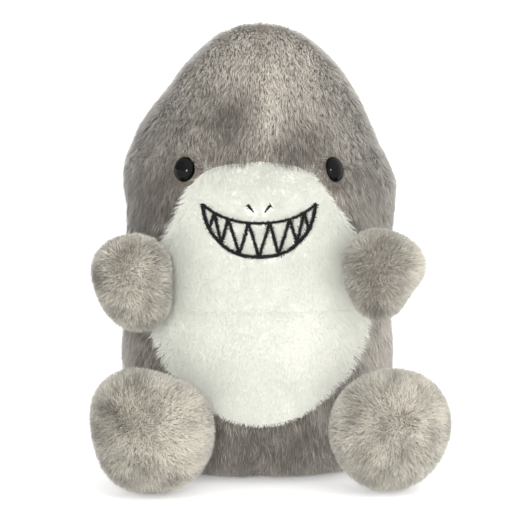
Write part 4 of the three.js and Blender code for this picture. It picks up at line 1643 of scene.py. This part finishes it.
def thread_mesh(
    name: str, threads: list[tuple[Array, Array]], radius: float, finish: Material, sides: int = 6
) -> Piece:
    """Sweep round threads along their middle lines.

    Args:
        name: The piece's name.
        threads: Middle lines and outward directions, all with as many points.
        radius: The thread's radius.
        finish: The thread's finish.
        sides: How many sides its section has.

    Returns:
        The piece.
    """
    lines = np.stack([line for line, _ in threads])
    outs = np.stack([out for _, out in threads])
    ways = unit(np.gradient(lines, axis=1))
    sideways = unit(np.cross(ways, outs))
    outs = np.cross(sideways, ways)
    turn = np.linspace(0.0, 2 * math.pi, sides + 1)[:-1]
    ring = sideways[:, :, None] * np.cos(turn)[:, None] + outs[:, :, None] * np.sin(turn)[:, None]
    taper = np.ones(lines.shape[1])
    taper[[0, -1]] = 0.5
    points = lines[:, :, None] + ring * (radius * taper)[:, None, None]
    count, rows = lines.shape[:2]
    corner = np.arange(points[..., 0].size).reshape(count, rows, sides)
    after = np.roll(corner, -1, axis=2)
    quads = np.stack([corner[:, :-1], after[:, :-1], after[:, 1:], corner[:, 1:]], axis=-1).reshape(-1, 4)
    return mesh_object(name, points.reshape(-1, 3), [quads, corner[:, 0, ::-1], corner[:, -1]], finish)


# ---------------------------------------------------------------- the whole toy


@dataclass
class Studio:
    """A pale floor, soft light and the camera."""

    aim: tuple[float, float, float] = (-1.4 * MM, 0.0, 60.9 * MM)
    distance: float = 0.85
    elevation: float = 5.5
    azimuth: float = 0.0
    lens: float = 213.5
    bright_side: tuple[float, float, float] = (0.75, -0.55, 0.18)
    room_light: float = 1.6
    floor_radius: float = 5.5
    wall_height: float = 0.85

    def camera(self) -> None:
        """Set the camera on the toy."""
        data = bpy.data.cameras.new("camera")
        data.lens = self.lens
        data.clip_start, data.clip_end = 0.01, 100.0
        camera = bpy.data.objects.new("camera", data)
        lift, turn = math.radians(self.elevation), math.radians(self.azimuth)
        away = Vector((-math.sin(turn) * math.cos(lift), -math.cos(turn) * math.cos(lift), math.sin(lift)))
        camera.location = Vector(self.aim) + away * self.distance
        camera.rotation_euler = (-away).to_track_quat("-Z", "Y").to_euler()
        bpy.context.scene.collection.objects.link(camera)
        bpy.context.scene.camera = camera

    @staticmethod
    def paper(name: str, glow: float) -> Material:
        """Make a pale matt finish for the studio.

        Args:
            name: The material's name.
            glow: How much light it gives of its own, so that it stays pale.

        Returns:
            The material.
        """
        material, tree, shader = new_material(name)
        tint = ramp(tree, grain(tree, 40.0), [(0.3, (0.93, 0.93, 0.93)), (0.7, (0.96, 0.96, 0.96))])
        tree.links.new(tint, shader.inputs["Base Color"])
        shader.inputs["Roughness"].default_value = 0.9
        shader.inputs["Specular IOR Level"].default_value = 0.1
        shader.inputs["Emission Color"].default_value = (1.0, 1.0, 1.0, 1.0)
        shader.inputs["Emission Strength"].default_value = glow
        return material

    def floor(self) -> None:
        """Lay the round pale floor, with a low wall round it that hides the horizon."""
        turns = np.linspace(0.0, 2 * math.pi, 49)[:-1]
        ring = np.stack([np.cos(turns), np.sin(turns), 0 * turns], axis=1)
        foot = ring * self.floor_radius - (0.0, 0.0, 0.3 * MM)
        top = ring * (self.floor_radius + 1.0) + (0.0, 0.0, self.wall_height)
        corner = np.arange(2 * len(turns)).reshape(2, -1)
        after = np.roll(corner, -1, axis=1)
        around = np.stack([corner[0], after[0], after[1], corner[1]], axis=1)
        mesh_object("studio_floor", foot, [corner[:1]], self.paper("pale_floor", 0.3))
        mesh_object("studio_wall", np.concatenate([foot, top]), [around], self.paper("pale_wall", 0.7))

    def light(self, name: str, place: tuple[float, float, float], size: float, power: float) -> None:
        """Hang a soft light that looks at the toy.

        Args:
            name: The light's name.
            place: Where it hangs.
            size: The length of its side.
            power: How bright it is, in watts.
        """
        data = bpy.data.lights.new(name, "AREA")
        data.size, data.energy = size, power
        lamp = bpy.data.objects.new(name, data)
        lamp.location = place
        lamp.rotation_euler = (Vector(self.aim) - Vector(place)).to_track_quat("-Z", "Y").to_euler()
        bpy.context.scene.collection.objects.link(lamp)

    def world(self) -> None:
        """Fill the room with soft light, dimmer from the toy's right."""
        world = bpy.data.worlds.new("studio")
        world.use_nodes = True
        tree = world.node_tree
        place = tree.nodes.new("ShaderNodeTexCoord")
        toward = tree.nodes.new("ShaderNodeVectorMath")
        toward.operation = "DOT_PRODUCT"
        toward.inputs[1].default_value = Vector(self.bright_side).normalized()
        tree.links.new(place.outputs["Generated"], toward.inputs[0])
        reach = tree.nodes.new("ShaderNodeMapRange")
        reach.inputs["From Min"].default_value = -1.0
        tree.links.new(toward.outputs["Value"], reach.inputs["Value"])
        shade = ramp(tree, reach.outputs["Result"], [(0.15, (0.35,) * 3), (0.85, (1.0,) * 3)])
        tree.links.new(shade, tree.nodes["Background"].inputs["Color"])
        tree.nodes["Background"].inputs["Strength"].default_value = self.room_light
        bpy.context.scene.world = world

    def build(self) -> None:
        """Set up the whole studio."""
        self.camera()
        self.floor()
        self.world()
        self.light("key", (-0.1, -0.98, 0.24), 0.18, 5.0)
        bpy.context.scene.view_settings.view_transform = "Standard"


@dataclass
class Shark:
    """The whole toy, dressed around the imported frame."""

    frame: dict
    sunk: float = 3.0
    finishes: dict[str, Material] = field(default_factory=dict)

    def make_finishes(self) -> None:
        """Make every finish."""
        # Each strand finish darkens towards its root: painted shade down in the pile.
        strands = [
            PileFinish(
                "grey_strands", srgb(100, 94, 87), srgb(182, 173, 161),
                srgb(122, 115, 107), srgb(255, 250, 240), glow=0.4,
            ),
            PileFinish(
                "pale_strands", srgb(120, 113, 105), srgb(200, 192, 179),
                srgb(140, 133, 124), srgb(255, 252, 238), glow=0.4,
            ),
            PileFinish(
                "white_strands", srgb(200, 201, 193), srgb(242, 243, 235),
                srgb(208, 209, 201), srgb(252, 253, 245), sheen=0.1, glow=0.35,
            ),
        ]
        cloths = [
            ClothFinish("grey_backing", srgb(104, 97, 90), srgb(132, 124, 115), 1200, 0.3 * MM),
            ClothFinish("pale_backing", srgb(126, 119, 110), srgb(156, 148, 137), 1200, 0.3 * MM),
            ClothFinish("white_backing", srgb(228, 229, 221), srgb(238, 239, 231), 1200, 0.3 * MM),
            ClothFinish("fibre_fill", srgb(228, 227, 222), srgb(250, 249, 246), 500, 0.6 * MM),
            ClothFinish("grey_thread", srgb(96, 90, 83), srgb(138, 130, 121), 3000, 0.08 * MM),
            ClothFinish(
                "black_thread", srgb(6, 5, 5), srgb(20, 18, 18), 4000, 0.05 * MM, roughness=0.6, sheen=0.0,
            ),
        ]
        others = [
            WovenFinish("pouch_cotton", srgb(196, 190, 174), srgb(226, 221, 207), 1800),
            WovenFinish("label_satin", srgb(222, 222, 217), srgb(246, 246, 243), 3200, 0.45),
            BeadFinish("pellets", srgb(170, 170, 168), srgb(238, 238, 236), 420),
            GlossFinish("eye_gloss", srgb(3, 2, 2), srgb(11, 9, 8), 0.04, 0.14),
            GlossFinish("washer_plastic", srgb(220, 220, 214), srgb(238, 238, 232), 0.4, 0.4),
        ]
        self.finishes = {finish.name: finish.material() for finish in (*strands, *cloths, *others)}

    def dress_nodes(self) -> None:
        """Give each frame node that stays its finish."""
        other_names = {
            "pouch_cloth": "pouch_cotton", "beads": "pellets", "grey_pile": "grey_backing",
            "pale_pile": "pale_backing", "white_pile": "white_backing",
        }
        for row in self.frame["record"]["subparts"]:
            mesh = self.frame["nodes"][row["node"]].data
            mesh.materials.clear()
            slot = row["material_slot"]
            mesh.materials.append(self.finishes[other_names.get(slot, slot)])

    def limb(self, name: str, form: LimbForm, inner: str, halves: tuple[str, str], look: LimbLook) -> Limb:
        """Read a limb's place from the frame.

        Args:
            name: The limb's body.
            form: Its shape.
            inner: What it is filled with, whose node shows the way the limb points.
            halves: The names of its two halves of cloth.
            look: How its pile lies.

        Returns:
            The limb.
        """
        joint = next(j for j in self.frame["joints"] if j["child"] == name)
        pivot = Vector(joint["pos_m"])
        filling = self.frame["nodes"][f"{name}_{inner}"].data
        away = np.array([v.co for v in filling.vertices]) - np.array(pivot)
        tip = away[np.argmax(np.linalg.norm(away, axis=1))]
        return Limb(name, form, look, pivot, Vector(tip), halves, self.finishes)

    def limbs(self) -> list[Limb]:
        """Shape the two arms and the two feet, each a little uneven in its own way.

        Returns:
            The limbs.
        """
        arm = LimbForm(
            6.4, ((2.4, 7.2), (5.4, 8.9), (9.6, 11), (14.6, 11.3), (19, 8.8), (21.5, 4.8)), 22.8,
            (0.89, 1.0, 1.06, 1.18, 1.06, 1.08, 1.06, 0.76),
        )
        mitten = replace(arm, lobes=(0.99, 1.15, 1.16, 1.08, 0.89, 0.9, 1.14, 1.18))
        foot = LimbForm(
            7.4, ((1.5, 8.2), (3.8, 11), (7.5, 15), (13.5, 16.6), (20, 15), (25.2, 10.8), (28.3, 5.4)), 30,
            (1.0, 1.0, 1.0, 1.2, 1.04, 1.04, 1.0, 1.0),
        )
        ball = replace(foot, lobes=(1.02, 1.07, 1.0, 1.0, 1.0, 1.0, 1.0, 0.97))
        # Patches: the pile's own lighter and darker cloth, with painted light on the side toward the light
        # and painted shade on the side away from it.
        left_arm = (ShadePatch(10, 3, 5, 9, 0.68), ShadePatch(-6, -4, 6, 8, -0.12))
        right_arm = (ShadePatch(-10.5, -1, 3, 12, -0.3), ShadePatch(4, 0, 7, 10, 0.06))
        left_foot = (
            ShadePatch(9, 0, 9, 12, 0.12), ShadePatch(-7, -9, 4, 4, -0.16), ShadePatch(-9, 4, 6, 8, -0.05),
        )
        right_foot = (
            ShadePatch(10, 1, 7, 12, 0.4), ShadePatch(-14, -2, 4, 11, -0.34),
            ShadePatch(-11, 7.5, 4.5, 1.8, -0.3),
        )
        rows = (
            ("arm_left", arm, LimbLook(61, ((-6, 8), (-4, 9)), (0.7, -0.6), 0.39, left_arm)),
            ("arm_right", mitten, LimbLook(71, ((-5, 8), (-3, 9)), (0.3, -1.0), 0.48, right_arm)),
            ("foot_left", ball, LimbLook(81, ((0, 6), (3, 5)), (0.1, -0.35), 0.6, left_foot)),
            ("foot_right", foot, LimbLook(91, ((-13, 9), (-8, 5.5)), (0.5, -0.5), 0.58, right_foot)),
        )
        inner = {"arm": ("stuffing", ("outer", "inner")), "foot": ("beads", ("upper", "lower"))}
        return [self.limb(name, form, *inner[name.split("_")[0]], look) for name, form, look in rows]

    def pads(self, form: BodyForm) -> list[Pad]:
        """Shape the back fin and the tail, with their roots sunk in the back.

        Args:
            form: The body that they grow from.

        Returns:
            The pads.
        """
        # name, heights of the root, reach behind the back, heart, thickness, seed, free outline
        rows = (
            ("dorsal_fin", (68.5, 79, 91), 19, (4.0, 77.5), 8, 101, (
                (0.5, -12), (1, -15), (0.86, -6), (0.55, 4), (0.25, 10),
            )),
            ("tail", (10, 17, 24.5), 25, (11.0, 18.5), 10, 111, (
                (0.4, -6), (0.68, -11), (0.95, -15), (0.88, -4), (0.84, 4), (1, 22), (0.7, 17), (0.42, 8),
            )),
        )
        made = []
        for name, heights, reach, heart, thickness, seed, outline in rows:
            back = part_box(f"{name}_skin_left")[0].y / MM
            places = form.place(np.full(len(heights), math.pi / 2), np.array(heights) * MM)
            low, middle, high = ((place[1] / MM - self.sunk, z) for place, z in zip(places, heights))
            free = ((back + reach * a, heights[1] + b) for a, b in outline)
            rim = (low, *free, high, middle)
            made.append(Pad(name, (back + heart[0], heart[1]), rim, thickness, self.finishes, seed))
        return made

    def build(self) -> None:
        """Build each sub-assembly in turn, and report its pieces."""
        self.make_finishes()
        self.dress_nodes()
        form = BodyForm(
            height=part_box("head_skin_left")[1].z,
            half_width=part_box("body_skin")[1].x,
            neck=(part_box("face_panel")[0].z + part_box("tummy_panel")[1].z) / 2,
        )
        edge = WhiteEdge(form)
        gloss = self.finishes["eye_gloss"]
        eyes = [Eye(side, self.frame["nodes"][f"eye_{side.word}"], form, gloss) for side in Side]
        grin = Grin(form, self.finishes["black_thread"])
        sights = [Vector(eye.frame()[0]) for eye in eyes]
        torso = Torso(form, edge, self.finishes, sights, grin.footprint())
        base = tuple(np.array(corner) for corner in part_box("base_seam_thread"))
        seams = Seams(form, edge, self.finishes["grey_thread"], base)
        for part in (torso, grin, *eyes, *self.limbs(), *self.pads(form), seams):
            for piece in part.build():
                LOG.info("%s: %d faces", piece.name, len(piece.data.polygons))


def main() -> None:
    """Load the frame, dress it, and light it."""
    logging.basicConfig(level=logging.INFO, format="%(message)s")
    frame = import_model()
    Studio().build()
    Shark(frame).build()


if __name__ == "__main__":
    main()
